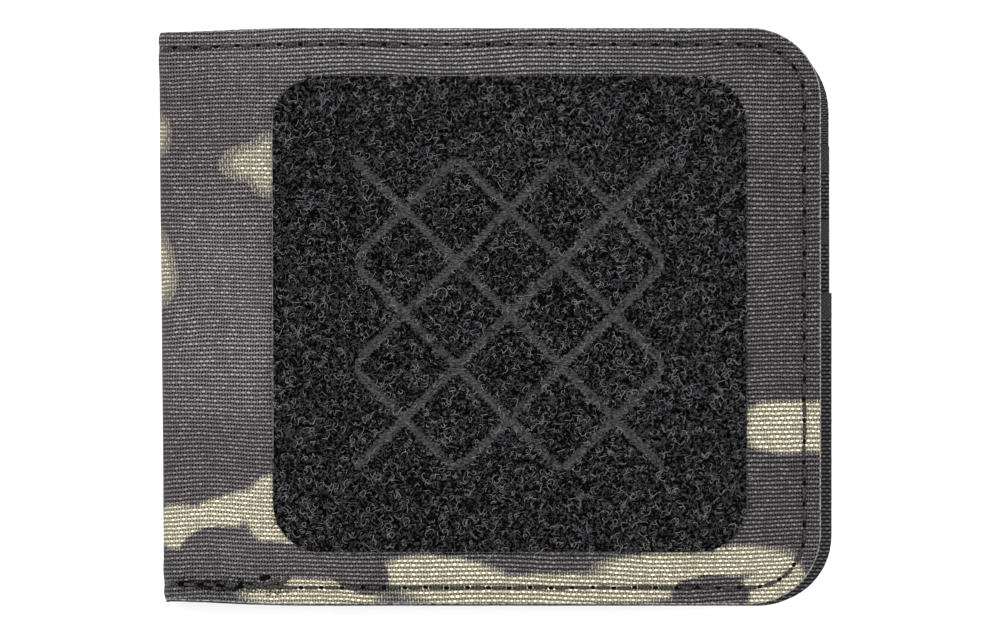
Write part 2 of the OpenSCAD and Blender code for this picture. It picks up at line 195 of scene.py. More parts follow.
def grid_block(columns, rows):
    """A rectangle of quads, as corner points."""
    quads = []
    for g0, g1 in zip(columns[:-1], columns[1:]):
        for y0, y1 in zip(rows[:-1], rows[1:]):
            quads.append([(g0, y0), (g1, y0), (g1, y1), (g0, y1)])
    return quads


def corner_block(centre, radii, start):
    """A quarter disc of quads about centre, from angle start."""
    quads = []
    angles = [start + PI / 2 * k / 14 for k in range(15)]

    def point(r, a):
        return (centre[0] + r * math.cos(a), centre[1] + r * math.sin(a))

    for r0, r1 in zip(radii[:-1], radii[1:]):
        for a0, a1 in zip(angles[:-1], angles[1:]):
            quads.append([point(r0, a0), point(r1, a0), point(r1, a1), point(r0, a1)])
    return quads


def weld(quads):
    """Points and faces of quads that share their corners."""
    index, points, faces = {}, [], []
    for quad in quads:
        face = []
        for g, y in quad:
            key = (round(g * 1e7), round(y * 1e7))
            if key not in index:
                index[key] = len(points)
                points.append((g, y))
            if index[key] not in face:
                face.append(index[key])
        if len(face) > 2:
            faces.append(face)
    return np.array(points), faces


def cut_cloth(g0, g1, y0, y1, low, high, step):
    """A flat cut from g0 to g1 and y0 to y1. low and high are its corner radii at g1."""
    r = max(low, high, 5 * MM)
    ring = offsets(r)
    columns = spaced(g0, g1 - r, step)
    side = np.round(g1 - ring[::-1], 7)
    rows = np.unique(np.round(np.concatenate(
        [y0 + ring, spaced(y0 + r, y1 - r, step), y1 - ring]), 7))
    beside = rows[(rows >= y0 + low - 2e-7) & (rows <= y1 - high + 2e-7)]
    quads = grid_block(columns, rows) + grid_block(side, beside)
    radii = r - ring[::-1]
    if low:
        quads += corner_block((g1 - r, y0 + r), radii, -PI / 2)
    if high:
        quads += corner_block((g1 - r, y1 - r), radii, 0)
    return weld(quads)


def span_cut(g0, g1, y0, y1, r, drop):
    """A cut with both corners rounded at g1, and its top then taken down by drop."""
    turn = g1 - r
    columns = np.concatenate([spaced(g0, turn, STEP)[:-1],
                              turn + r * np.sin(np.linspace(0, PI / 2, 14))])
    fall = r - np.sqrt(np.maximum(r * r - np.maximum(columns - turn, 0) ** 2, 0))
    low, high = y0 + fall, np.minimum(y1 - fall, y1 - drop)
    rows = np.concatenate([[0, 0.004], np.linspace(0.02, 0.98, 44), [0.996, 1]])
    y = low[:, None] + (high - low)[:, None] * rows[None, :]
    quads = []
    for i in range(len(columns) - 1):
        a, b = columns[i], columns[i + 1]
        for j in range(len(rows) - 1):
            quads.append([(a, y[i, j]), (b, y[i + 1, j]), (b, y[i + 1, j + 1]), (a, y[i, j + 1])])
    return weld(quads)


def edge_distance(points, g1, y0, y1, low, high):
    """Distance in from the bottom, free and top edges of a cut."""
    g, y = points[:, 0], points[:, 1]
    d = np.minimum(np.minimum(y - y0, y1 - y), g1 - g)
    for r, centre_y, beyond in ((low, y0 + low, y < y0 + low), (high, y1 - high, y > y1 - high)):
        if r:
            round_it = (g > g1 - r) & beyond
            d = np.where(round_it, r - np.hypot(g - g1 + r, y - centre_y), d)
    return d


def add_object(name, data):
    made = bpy.data.objects.new(name, data)
    bpy.context.scene.collection.objects.link(made)
    return made


def new_object(name, points, faces, material, uv=None, index=None, sharp=50):
    mesh = bpy.data.meshes.new(name)
    mesh.from_pydata([tuple(p) for p in points], [], [tuple(f) for f in faces])
    for one in material if isinstance(material, (list, tuple)) else [material]:
        mesh.materials.append(one)
    if index is not None:
        mesh.polygons.foreach_set("material_index", np.asarray(index, np.int32))
    if uv is not None:
        corner = np.zeros(len(mesh.loops), np.int32)
        mesh.loops.foreach_get("vertex_index", corner)
        mesh.uv_layers.new(name="cloth").uv.foreach_set(
            "vector", np.asarray(uv, np.float32)[corner].ravel())
    cleaned = bmesh.new()
    cleaned.from_mesh(mesh)
    bmesh.ops.recalc_face_normals(cleaned, faces=cleaned.faces)
    cleaned.to_mesh(mesh)
    cleaned.free()
    mesh.shade_smooth()
    mesh.set_sharp_from_angle(angle=math.radians(sharp))
    return add_object(name, mesh)


def thicken(name, flat, faces, outer, inner, uv, material, edge_index=0, near_edge=None):
    """A closed sheet between two sets of points, with its rim and outermost ring in edge_index."""
    n = len(flat)
    used = {}
    for face in faces:
        for a, b in zip(face, face[1:] + face[:1]):
            used[(a, b)] = True
    rim = [(a, b) for a, b in used if (b, a) not in used]
    every = list(faces) + [[v + n for v in reversed(f)] for f in faces]
    every += [[b, a, a + n, b + n] for a, b in rim]
    ringed = [0] * len(faces)
    if near_edge is not None:
        ringed = [edge_index if near_edge[f].mean() < CUT_EDGE * 0.9 else 0 for f in faces]
    index = ringed + [0] * len(faces) + [edge_index] * len(rim)
    points = np.concatenate([outer, inner])
    return new_object(name, points, every, material, np.concatenate([uv, uv]), index)


# ---- The perimeter seam of a half ----


class Seam:
    """The stitched line inside a half's bottom, free and top edges."""

    def __init__(self, half, inset=SEAM_INSET):
        self.y0, self.y1 = shell_low[half].y, shell_high[half].y
        self.g1 = girth(free_x[half])
        self.turn = self.g1 - CORNER_R
        self.inset = inset
        self.r = CORNER_R - inset
        self.arc = self.r * PI / 2
        self.side = self.y1 - self.y0 - 2 * CORNER_R
        self.length = 2 * self.turn + 2 * self.arc + self.side
        self.pitch = self.length / round(self.length / STITCH_PITCH)

    def place(self, t):
        """Point and in-plane inward direction at t along the seam."""
        ends = np.cumsum([self.turn, self.arc, self.side, self.arc, self.turn])
        part = np.searchsorted(ends, t)
        at = t - np.concatenate([[0], ends])[np.minimum(part, 4)]
        low, high = self.y0 + CORNER_R, self.y1 - CORNER_R
        a = np.select([part == 0, part == 1, part == 2, part == 3],
                      [0 * t - PI / 2, -PI / 2 + at / self.r, 0 * t, at / self.r], PI / 2)
        g = np.select([part == 0, part >= 4], [t, self.turn - at], self.turn + self.r * np.cos(a))
        y = np.select([part <= 1, part == 2], [low + self.r * np.sin(a), low + at],
                      high + self.r * np.sin(a))
        return g, y, -np.cos(a), -np.sin(a)

    def along(self, g, y):
        """How far along the seam the nearest point of it lies."""
        low, high = self.y0 + CORNER_R, self.y1 - CORNER_R
        lower = self.turn + self.r * np.arctan2(g - self.turn, low - y)
        upper = self.turn + self.arc + self.side + self.r * np.arctan2(y - high, g - self.turn)
        beside = self.turn + self.arc + (y - low)
        straight = np.where(y < 0, g, self.length - g)
        turned = np.select([y < low, y > high], [lower, upper], beside)
        return np.where(g <= self.turn, straight, turned)

    def relief(self, d, t):
        """How far the sewn cloth stands out at distance d from the edge and t along the seam. Its
        profile is in mm: off is the distance in from the stitches."""
        off = (d - self.inset) / MM
        beat = np.cos(2 * PI * t / self.pitch)
        channel = -0.20 * hill(off, 0.0, 0.55) * (1 + 0.4 * beat)
        pucker = -0.05 * beat * np.exp(-np.abs(off) / 1.6)
        rolled = -0.22 * hill(d / MM, 0.0, 0.5)
        swell = 0.12 * hill(off, 2.2, 1.6) + 0.06 * hill(off, -1.4, 0.7)
        return (channel + pucker + rolled + swell) * MM


seam_of = {half: Seam(half) for half in side_of}


def place_on(made, body, slot, *replaced):
    """The piece rides on a body and stands for the replaced nodes. slot is not used."""
    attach(made, body)
    if replaced:
        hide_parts(*replaced)


# ---- Materials ----


class Nodes:
    """One material's node tree, with short calls for the nodes that it needs."""

    def __init__(self, name):
        self.material = bpy.data.materials.new(name)
        self.material.use_nodes = True
        self.tree = self.material.node_tree
        self.tree.nodes.clear()

    def add(self, kind, inputs=(), **settings):
        node = self.tree.nodes.new(kind)
        for key, value in settings.items():
            setattr(node, key, value)
        for key, value in dict(inputs).items():
            self.feed(value, node.inputs[key])
        return node

    def feed(self, value, socket):
        if isinstance(value, bpy.types.NodeSocket):
            self.tree.links.new(value, socket)
        elif value is not None:
            socket.default_value = value

    def math(self, operation, a, b=None, c=None):
        node = self.add("ShaderNodeMath", operation=operation)
        for value, socket in zip((a, b, c), node.inputs):
            self.feed(value, socket)
        return node.outputs[0]

    def vector(self, operation, a, b=None):
        node = self.add("ShaderNodeVectorMath", operation=operation)
        self.feed(a, node.inputs[0])
        self.feed(b, node.inputs[1])
        return node.outputs["Value" if operation == "LENGTH" else "Vector"]

    def ramp(self, value, low, high, to_low=0.0, to_high=1.0):
        node = self.add("ShaderNodeMapRange", {
            "Value": value, "From Min": low, "From Max": high, "To Min": to_low, "To Max": to_high})
        node.interpolation_type = "SMOOTHSTEP"
        return node.outputs["Result"]

    def mix(self, factor, a, b, blend="MIX"):
        node = self.add("ShaderNodeMix", data_type="RGBA", blend_type=blend)
        for value, socket in ((factor, node.inputs[0]), (a, node.inputs[6]), (b, node.inputs[7])):
            self.feed(value, socket)
        return node.outputs[2]

    def shaded(self, colour, shade):
        """The colour, darker or lighter by a factor."""
        tint = self.add("ShaderNodeCombineColor", {0: shade, 1: shade, 2: shade}).outputs[0]
        return self.mix(1.0, colour, tint, "MULTIPLY")

    def noise(self, vector, scale, detail=2.0, colour=False, roughness=0.5):
        node = self.add("ShaderNodeTexNoise", {
            "Vector": vector, "Scale": scale, "Detail": detail, "Roughness": roughness})
        return node.outputs["Color" if colour else "Fac"]

    def cloth_mm(self):
        """Position on the flat cloth, in millimetres."""
        uv = self.add("ShaderNodeUVMap", uv_map="cloth").outputs[0]
        return self.scaled(uv, 1000.0)

    def scaled(self, vector, factor):
        node = self.add("ShaderNodeVectorMath", operation="SCALE")
        self.feed(vector, node.inputs[0])
        self.feed(factor, node.inputs["Scale"])
        return node.outputs[0]

    def drift(self, vector, scale, amount, detail=1.0):
        """A wander of up to half of amount each way, in the vector's own units."""
        cloud = self.noise(vector, scale, detail, colour=True)
        return self.scaled(self.vector("SUBTRACT", cloud, (0.5, 0.5, 0.5)), amount)

    def split(self, vector):
        return self.add("ShaderNodeSeparateXYZ", {0: vector}).outputs

    def surface(self, colour, roughness, height=None, distance=0.1 * MM, strength=1.0,
                specular=0.06, shine=()):
        """The finished material. shine names further sockets of the shader and their values."""
        shader = self.add("ShaderNodeBsdfPrincipled", {
            "Base Color": colour, "Roughness": roughness, "Specular IOR Level": specular})
        for key, value in dict(shine).items():
            shader.inputs[key].default_value = value
        if height is not None:
            bump = self.add("ShaderNodeBump", {
                "Strength": strength, "Distance": distance, "Height": height})
            self.tree.links.new(bump.outputs[0], shader.inputs["Normal"])
        out = self.add("ShaderNodeOutputMaterial")
        self.tree.links.new(shader.outputs[0], out.inputs[0])
        return self.material


def plain_weave(n, at, warp, weft, wander=0.16, warp_show=0.35):
    """Height of a plain weave from 0 to 1, and each thread's own shade. The weft runs along x, and
    warp_show says how far the warp comes up between its floats."""
    x, y, _ = n.split(n.vector("ADD", at, n.drift(at, 0.7, wander, 2.0)))
    u, v = n.math("DIVIDE", x, warp), n.math("DIVIDE", y, weft)
    column, row = n.math("FLOOR", u), n.math("FLOOR", v)
    across = n.math("SINE", n.math("MULTIPLY", n.math("FRACT", u), PI))
    along = n.math("SINE", n.math("MULTIPLY", n.math("FRACT", v), PI))

    def crest(a, b, shift):
        turn = n.math("MULTIPLY", n.math("SUBTRACT", n.math("SUBTRACT", a, 0.5 + shift), b), PI)
        return n.math("MULTIPLY_ADD", n.math("COSINE", turn), 0.5, 0.5)

    float_up = n.math("POWER", crest(u, row, 0.0), 0.36)
    weft_up = n.math("MULTIPLY", n.math("POWER", along, 1.5),
                     n.math("MULTIPLY_ADD", float_up, 0.95, 0.05))
    rise = n.math("POWER", crest(v, column, 1.0), 0.7)
    warp_up = n.math("MULTIPLY", n.math("POWER", across, 1.3),
                     n.math("MULTIPLY_ADD", rise, warp_show, 0.25))
    height = n.math("MAXIMUM", weft_up, warp_up)
    warp_on_top = n.math("GREATER_THAN", warp_up, weft_up)
    shades = []
    for thread, along_it, seed in ((row, x, 3.0), (column, y, 17.0)):
        place = n.add("ShaderNodeCombineXYZ", {
            0: n.math("MULTIPLY", thread, 7.31), 1: n.math("MULTIPLY", along_it, 0.35), 2: seed})
        shades.append(n.noise(place.outputs[0], 1.0, 2.0))
    own = n.add("ShaderNodeMix", data_type="FLOAT")
    for value, socket in zip((warp_on_top, *shades), own.inputs):
        n.feed(value, socket)
    return height, own.outputs[0]


def blob(n, at, x, y, wide, high, turn=0.0):
    """How far outside an ellipse a point lies, in millimetres or so; negative inside."""
    spot = n.add("ShaderNodeMapping", {
        "Vector": at, "Location": (x, y, 0), "Rotation": (0, 0, math.radians(turn)),
        "Scale": (wide, high, 1)}, vector_type="TEXTURE")
    flat = n.vector("MULTIPLY", spot.outputs[0], (1.0, 1.0, 0.0))
    return n.math("MULTIPLY", n.math("SUBTRACT", n.vector("LENGTH", flat), 1.0), min(wide, high))


def blobs(n, at, every):
    """How far outside the nearest of several ellipses a point lies."""
    nearest = None
    for one in every:
        out = blob(n, at, *one)
        nearest = out if nearest is None else n.math("SMOOTH_MIN", nearest, out, 0.8)
    return nearest


# Ellipses on the unrolled front, for blotches of the print and paler patches of thread: centre, half
# sizes and turn, in mm from the wallet's middle. The rear's are on the same cloth, beyond the spine.
KHAKI = [
    (-55.5, 30.2, 1.8, 2.3, 0), (-55.6, 8.2, 2.6, 4.8, 6), (-62.4, 19.0, 4.4, 13.0, 8),
    (-35.6, 25.0, 4.2, 4.4, 0), (-39.4, 25.6, 3.5, 2.0, 4), (-52.0, -34.4, 6.6, 3.3, 4),
    (-43.0, -31.4, 8.0, 2.5, 16), (-35.0, -31.4, 5.6, 6.0, 0), (-30.0, -45.2, 10.6, 2.5, 0),
    (-8.0, -42.6, 10.0, 3.6, -6), (10.0, -44.6, 22.0, 2.6, 2), (32.5, -40.0, 14.6, 2.6, 4),
    (44.6, -44.0, 5.6, 2.8, 20), (46.0, -41.4, 3.6, 2.6, 0), (48.0, -17.8, 9.4, 4.1, 0),
    (54.0, -17.8, 6.0, 4.1, 0),
    (-80.0, 20.0, 9.0, 5.0, 30), (-104.0, -6.0, 13.0, 5.5, -15), (-128.0, 26.0, 8.0, 4.5, 20),
    (-146.0, -18.0, 12.0, 4.0, 10), (-92.0, -38.0, 16.0, 4.5, 6), (-160.0, 36.0, 7.0, 4.0, -20),
    (-122.0, -40.0, 9.0, 3.5, -12), (-70.0, -18.0, 6.0, 3.4, 25),
]
HUMPS = [
    (-45.0, -39.6, 7.0, 5.6, 0), (-33.0, -39.4, 7.6, 2.6, -10), (-22.5, -40.6, 6.0, 3.6, -30),
    (9.6, -39.0, 7.6, 1.9, 0), (35.2, -45.2, 6.4, 3.4, 0),
    (-100.0, 3.0, 8.0, 3.2, 10), (-86.0, -34.0, 8.0, 2.6, 0), (-140.0, -14.0, 6.0, 2.4, 0),
]
BLACK = HUMPS + [
    (-47.0, -22.0, 13.0, 6.0, 8), (50.0, -29.0, 9.0, 6.0, 20), (50.0, 0.0, 6.0, 12.0, 0),
    (-84.0, 34.0, 14.0, 6.0, 10), (-110.0, 14.0, 12.0, 7.0, -20), (-138.0, 4.0, 14.0, 6.0, 12),
    (-98.0, -24.0, 12.0, 5.0, 0), (-152.0, -36.0, 14.0, 6.0, 8), (-74.0, -42.0, 9.0, 4.0, 0),
]
PALE = [
    (-14.0, 44.0, 32.0, 6.0, 0), (-46.0, 0.0, 9.0, 20.0, 0),
    (-120.0, 40.0, 22.0, 7.0, 5), (-90.0, 4.0, 16.0, 8.0, 20), (-150.0, 14.0, 12.0, 6.0, -10),
]


def camo_nylon():
    n = Nodes("camo_nylon")
    at = n.cloth_mm()
    # The warp shows more where the cloth is drawn tight round the spine.
    x, _, _ = n.split(at)
    tight = n.ramp(n.math("ABSOLUTE", x), girth(-42 * MM) / MM, girth(-18 * MM) / MM, 0.80, 0.62)
    height, own = plain_weave(n, n.vector("ADD", at, n.drift(at, 0.035, 3.2)), WARP_PITCH / MM,
                              WEFT_PITCH / MM, 0.34, tight)
    # The flat front's blotches are given from the wallet's middle, so the girth is shifted to match.
    front_at = n.vector("SUBTRACT", at, (girth(0.0) / MM, 0.0, 0.0))
    spot = n.vector("ADD", n.vector("ADD", front_at, n.drift(front_at, 0.13, 1.3)),
                    n.drift(front_at, 1.6, 0.7))
    black, pale, hump = (n.ramp(blobs(n, spot, every), -soft, soft, 1.0, 0.0)
                         for every, soft in ((BLACK, 1.5), (PALE, 5.0), (HUMPS, 0.2)))
    # The cloth is darker towards the free edge, and its khaki greyer towards the top.
    right = n.ramp(n.split(front_at)[0], 25.0, 55.0, 0.0, 0.8)
    faded = n.ramp(n.split(front_at)[1], -12.0, 8.0, 0.0, 1.0)
    speckle = n.math("MULTIPLY", n.math("SUBTRACT", own, 0.5),
                     n.math("MULTIPLY_ADD", faded, 1.6, 0.8))
    outside = n.math("ADD", blobs(n, spot, KHAKI), speckle)
    khaki = n.math("MULTIPLY", n.ramp(outside, -0.2, 0.2, 1.0, 0.0), n.math("SUBTRACT", 1.0, hump))
    thread = n.mix(pale, (0.138, 0.126, 0.132, 1), (0.188, 0.173, 0.179, 1))
    thread = n.mix(black, thread, (0.136, 0.122, 0.128, 1))
    thread = n.mix(right, thread, (0.100, 0.090, 0.094, 1))
    cream = n.mix(faded, (0.60, 0.56, 0.43, 1), (0.47, 0.435, 0.35, 1))
    thread = n.mix(khaki, thread, cream)
    # Painted shade: the gaps between threads are painted near black, or dark khaki in the print, and
    # the colour rises to the thread's own towards each crest.
    painted_gap_shade = n.mix(khaki, (0.002, 0.002, 0.002, 1), (0.062, 0.054, 0.034, 1))
    thread = n.shaded(thread, n.ramp(own, 0.28, 0.72, 0.55, 1.45))
    worn = n.noise(at, 0.07, 4.0)
    thread = n.mix(n.ramp(worn, 0.5, 0.8, 0.0, 0.2), thread, (0.27, 0.25, 0.245, 1))
    colour = n.mix(n.ramp(height, 0.34, 0.92), painted_gap_shade, thread)
    rough = n.ramp(height, 0.0, 1.0, 0.95, 0.62)
    return n.surface(colour, rough, height, 0.16 * MM)


def woven(name, thread_colour, painted_gap_shade_colour, warp, weft, rough=0.6):
    """A plain woven cloth of one colour. warp and weft are its threads' widths in mm."""
    n = Nodes(name)
    at = n.cloth_mm()
    height, own = plain_weave(n, at, warp, weft, 0.08)
    thread = n.shaded(thread_colour, n.ramp(own, 0.3, 0.7, 0.75, 1.25))
    # Painted shade: the gaps between threads take the dark gap colour, which rises to the thread's
    # own towards each crest.
    colour = n.mix(n.ramp(height, 0.25, 0.9), painted_gap_shade_colour, thread)
    return n.surface(colour, n.ramp(height, 0.0, 1.0, 0.9, rough), height, 0.1 * MM, 0.8,
                     shine={"Sheen Weight": 0.03, "Sheen Roughness": 0.4})


def tape():
    """Ribbed binding tape, with its ribs across it."""
    n = Nodes("binding_tape")
    at = n.cloth_mm()
    x, y, _ = n.split(n.vector("ADD", at, n.scaled(n.noise(at, 1.5, 2.0, colour=True), 0.08)))
    rib = n.math("ABSOLUTE", n.math("SINE", n.math("MULTIPLY", n.math("ADD", x, y), PI / 0.55)))
    pick = n.math("ABSOLUTE", n.math("SINE", n.math("MULTIPLY", n.math("SUBTRACT", x, y), PI / 0.8)))
    height = n.math("MULTIPLY", n.math("POWER", rib, 0.6), n.ramp(pick, 0.0, 0.5, 0.7, 1.0))
    fuzz = n.noise(at, 3.0, 3.0)
    # Painted shade: the hollows between the ribs are near black, rising to the tape's grey on each
    # rib.
    colour = n.mix(height, (0.003, 0.003, 0.003, 1), (0.048, 0.047, 0.050, 1))
    colour = n.mix(n.ramp(fuzz, 0.55, 0.8, 0.0, 0.5), colour, (0.11, 0.11, 0.115, 1))
    return n.surface(colour, 0.75, height, 0.1 * MM, 0.8, shine={"Sheen Weight": 0.03})


def cut_edge():
    """The coated back of the nylon, which shows along a cut, and painted sheen on the cut's rounded
    edge.
    """
    n = Nodes("cut_edge")
    at = n.cloth_mm()
    grain = n.noise(at, 2.2, 3.0)
    colour = n.mix(n.ramp(grain, 0.35, 0.65), (0.05, 0.048, 0.05, 1), (0.24, 0.235, 0.235, 1))
    return n.surface(colour, 0.6, grain, 0.05 * MM, 0.5)


def thread():
    """Twisted black thread, with painted highlight on its plies' crests and painted shade between
    them.
    """
    n = Nodes("black_thread")
    at = n.cloth_mm()
    x, y, _ = n.split(n.vector("ADD", at, n.scaled(n.noise(at, 2.5, 2.0, colour=True), 0.25)))
    ply = n.math("SINE", n.math("ADD", n.math("MULTIPLY", x, 7.0), n.math("MULTIPLY", y, 2 * PI)))
    height = n.ramp(ply, -1.0, 1.0)
    colour = n.mix(height, (0.001, 0.001, 0.001, 1), (0.022, 0.022, 0.023, 1))
    return n.surface(colour, 0.4, height, 0.08 * MM, specular=0.3)


def film():
    """Clear film with soft waves and scuffs."""
    n = Nodes("clear_film")
    at = n.cloth_mm()
    wave = n.noise(at, 0.12, 3.0)
    scuff = n.ramp(n.noise(at, 0.5, 3.0), 0.45, 0.8, 0.03, 0.09)
    return n.surface((0.97, 0.98, 0.985, 1), scuff, wave, 0.1 * MM, 0.12, 0.3,
                     {"Transmission Weight": 0.985, "IOR": 1.3})


def loop_base():
    """The dense foot of the pile, with clumps."""
    n = Nodes("loop_base")
    at = n.cloth_mm()
    clump = n.noise(at, 0.55, 5.0, roughness=0.65)
    lines = None
    for scale, shift in ((0.85, 0.0), (1.05, 31.0), (1.3, 67.0)):
        # A fibre runs along one level of a noise, so it closes into loops and curls.
        level = n.noise(n.vector("ADD", at, (shift, shift, 0.0)), scale, 1.0)
        away = n.math("ABSOLUTE", n.math("SUBTRACT", level, 0.5))
        line = n.ramp(away, 0.008, 0.045, 1.0, 0.0)
        lines = line if lines is None else n.math("MAXIMUM", lines, line)
    shade = n.noise(at, 1.7, 2.0)
    # Painted shade darkens the hollows between clumps, and the lighter fibre lines are painted
    # highlights, where the black loops catch the light.
    colour = n.mix(n.ramp(clump, 0.35, 0.7), (0.0003, 0.0003, 0.0003, 1), (0.003, 0.003, 0.0032, 1))
    colour = n.mix(n.math("MULTIPLY", lines, n.ramp(shade, 0.42, 0.66, 0.0, 1.0)), colour,
                   (0.044, 0.044, 0.0465, 1))
    height = n.math("ADD", n.math("MULTIPLY", lines, 0.6), n.math("MULTIPLY", clump, 1.2))
    return n.surface(colour, 0.9, height, 0.25 * MM, specular=0.0)


def pressed_base():
    """Pile pressed flat along the quilting: smoother and a little shinier, and painted lighter as
    painted sheen.
    """
    n = Nodes("pressed_pile")
    at = n.cloth_mm()
    fibre = n.noise(n.vector("MULTIPLY", at, (1.0, 2.6, 1.0)), 1.6, 4.0, roughness=0.7)
    colour = n.mix(n.ramp(fibre, 0.40, 0.66), (0.001, 0.001, 0.0011, 1), (0.060, 0.060, 0.063, 1))
    return n.surface(colour, 0.55, fibre, 0.12 * MM, specular=0.15)


def fibre(name, colour):
    return Nodes(name).surface(colour, 0.6, specular=0.03)


CAMO = camo_nylon()
EDGE = cut_edge()
BLACK_NYLON = woven("black_nylon", (0.088, 0.086, 0.092, 1), (0.001, 0.001, 0.001, 1), 0.5, 0.62)
LINING = woven("lining_cloth", (0.105, 0.105, 0.114, 1), (0.004, 0.004, 0.004, 1), 0.4, 0.4, 0.45)
TAPE = tape()
THREAD = thread()
FILM = film()
LOOP_BASE = loop_base()
PRESSED = pressed_base()

# The pile's fibres are black. The grey and light copies are painted highlights, where loops catch the
# light, and the black one also stands as painted shade in the needle holes.
BLACK_FIBRE_AND_SHADE = fibre("black_fibre_and_shade", (0.0008, 0.0008, 0.0008, 1))
GREY_HIGHLIGHT_FIBRE = fibre("grey_highlight_fibre", (0.040, 0.040, 0.0425, 1))
BRIGHT_HIGHLIGHT_FIBRE = fibre("bright_highlight_fibre", (0.165, 0.165, 0.172, 1))

# ---- The two halves' folded cloths: shell, lining and dividing wall ----


def folded_cloth(half, name, node, depth, thick, drop=0.0):
    """A cloth that runs from the spine's middle round the fold to a half's free edge. drop is how
    far its top edge lies below the others."""
    is_shell = node == "shell"
    inset = 0.0 if is_shell else INNER_INSET
    y0, y1 = shell_low[half].y + inset, shell_high[half].y - inset
    g1 = girth(free_x[half]) - inset
    r = CORNER_R - inset
    if drop:
        flat, faces = span_cut(0.0, g1, y0, y1, r, drop)
        d = np.full(len(flat), 1 * MM)
    else:
        flat, faces = cut_cloth(0.0, g1, y0, y1, r, r, FINE_STEP if is_shell else STEP)
        d = edge_distance(flat, g1, y0, y1, r, r)
    g, y = flat.T
    outer, normal = wrap(half, g, y, depth)
    inner, _ = wrap(half, g, y, depth + thick)
    if is_shell:
        seam = seam_of[half]
        out = seam.relief(d, seam.along(g, y))
        out += 0.05 * MM * ripple(g, y, 6 * MM, 5) * smooth(0, 6 * MM, d)
        # The rear lies on its face, so nothing of it stands out.
        out = np.minimum(out, 0.02 * MM) if half == "rear" else out
        outer = outer + normal * out[:, None]
        inner = inner + normal * (np.minimum(out, 0) * 0.5)[:, None]
    uv = np.stack([side_of[half] * g, y], -1)
    material = [CAMO, EDGE] if is_shell else [LINING, LINING]
    made = thicken(f"{half}_{name}", flat, faces, outer, inner, uv, material, 1, d)
    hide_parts(f"{half}_{node}", f"spine_{node}")
    turn_with_fold(made)


def turn_with_fold(made):
    """The piece's placement is baked into its points."""
    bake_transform(made)


for half in ("rear", "front"):
    folded_cloth(half, "camo_shell", "shell", 0.0, 0.55 * MM)
    folded_cloth(half, "lining_cloth", "lining", 0.6 * MM, 0.25 * MM)
    folded_cloth(half, "divider_cloth", "divider", 1.7 * MM, 0.35 * MM, drop=4 * MM)

# ---- Thread and fibre ----


def tubes(name, line, beside, above, radius, sides, material, flat=1.0, ply=0.0):
    """Round tubes along lines of points. line, beside and above hold one row per tube."""
    count, rings = line.shape[:2]
    a = 2 * PI * np.arange(sides) / sides
    along = np.linspace(-1, 1, rings)
    fat = 1 + ply * np.cos(2 * a[None, :] - 7 * along[:, None])
    round_it = radius[:, :, None, None] * fat[None, :, :, None]
    points = line[:, :, None, :] + round_it * (
        np.cos(a)[:, None] * beside[:, :, None, :] + flat * np.sin(a)[:, None] * above[:, :, None, :])
    i, j = np.meshgrid(np.arange(rings - 1), np.arange(sides), indexing="ij")
    k = (j + 1) % sides
    wall = np.stack([i * sides + j, i * sides + k, (i + 1) * sides + k, (i + 1) * sides + j], -1)
    wall = wall.reshape(-1, 4)
    last = (rings - 1) * sides
    faces = []
    for first in range(0, count * rings * sides, rings * sides):
        faces += (wall + first).tolist()
        faces.append([first + s for s in reversed(range(sides))])
        faces.append([first + last + s for s in range(sides)])
    length = np.linalg.norm(np.diff(line, axis=1), axis=2).mean() * rings
    uv = np.empty((count, rings, sides, 2))
    uv[..., 0] = (along * length / 2)[None, :, None] + 0.37 * MM * np.arange(count)[:, None, None]
    uv[..., 1] = (np.arange(sides) / sides * MM)[None, None, :]
    return new_object(name, points.reshape(-1, 3), faces, material, uv.reshape(-1, 2), sharp=80)


STITCH_RINGS = 11
# How far thread stands out of a shell, in its own radii. The rear's lies sunk, flush with the cloth.
STAND = {"front": 0.75, "rear": -0.1}


def stitches(name, rows, long, surface, radius=THREAD_R, material=THREAD, stand=0.75):
    """Threads on a cloth. rows holds each one's middle and direction on the flat cloth, surface
    gives points of the cloth and its outward normals, and stand is in the thread's own radii."""
    rows = np.asarray(rows)
    s = np.linspace(-1, 1, STITCH_RINGS)
    a, b, ta, tb = (rows[:, i, None] for i in range(4))
    bow = 0.06 * MM * np.sin(2.4 * np.arange(len(rows)))[:, None] * (1 - s * s)
    at_a = a + ta * s * long / 2 - tb * bow
    at_b = b + tb * s * long / 2 + ta * bow
    shape = at_a.shape
    points, up = surface(at_a.ravel(), at_b.ravel())
    nudge = 0.1 * MM
    beyond, _ = surface((at_a - tb * nudge).ravel(), (at_b + ta * nudge).ravel())
    beside = beyond - points
    beside -= up * (beside * up).sum(1)[:, None]
    beside /= np.linalg.norm(beside, axis=1)[:, None]
    # Thread that goes round the spine's edge is drawn in flush with the cloth.
    flush = 1.2 * (1 - np.abs(up[:, 2])).reshape(shape)
    rise = radius * (stand - 1.9 * np.abs(s) ** 5 - flush)
    beside, up = beside.reshape(*shape, 3), up.reshape(*shape, 3)
    line = points.reshape(*shape, 3) + up * rise[..., None]
    taper = np.sqrt(np.clip(1.02 - s ** 6, 0.02, 1))
    return tubes(name, line, beside, up, np.broadcast_to(radius * taper, shape), 8, material, 0.8,
                 0.10)


def shell_face(half):
    """The outer face of a half's shell, with its sewn relief."""
    seam = seam_of[half]

    def surface(g, y):
        d = edge_distance(np.stack([g, y], -1), seam.g1, seam.y0, seam.y1, CORNER_R, CORNER_R)
        points, up = wrap(half, g, y, 0.0)
        return points + up * seam.relief(d, seam.along(g, y))[:, None], up

    return surface


def seam_rows(half, start):
    """Middles and directions, one to each pitch of a half's seam, from start of a pitch."""
    seam = seam_of[half]
    every = (np.arange(round(seam.length / seam.pitch)) + start) * seam.pitch
    g, y, inward_g, inward_y = seam.place(every)
    return np.stack([g, y, inward_y, -inward_g], -1)


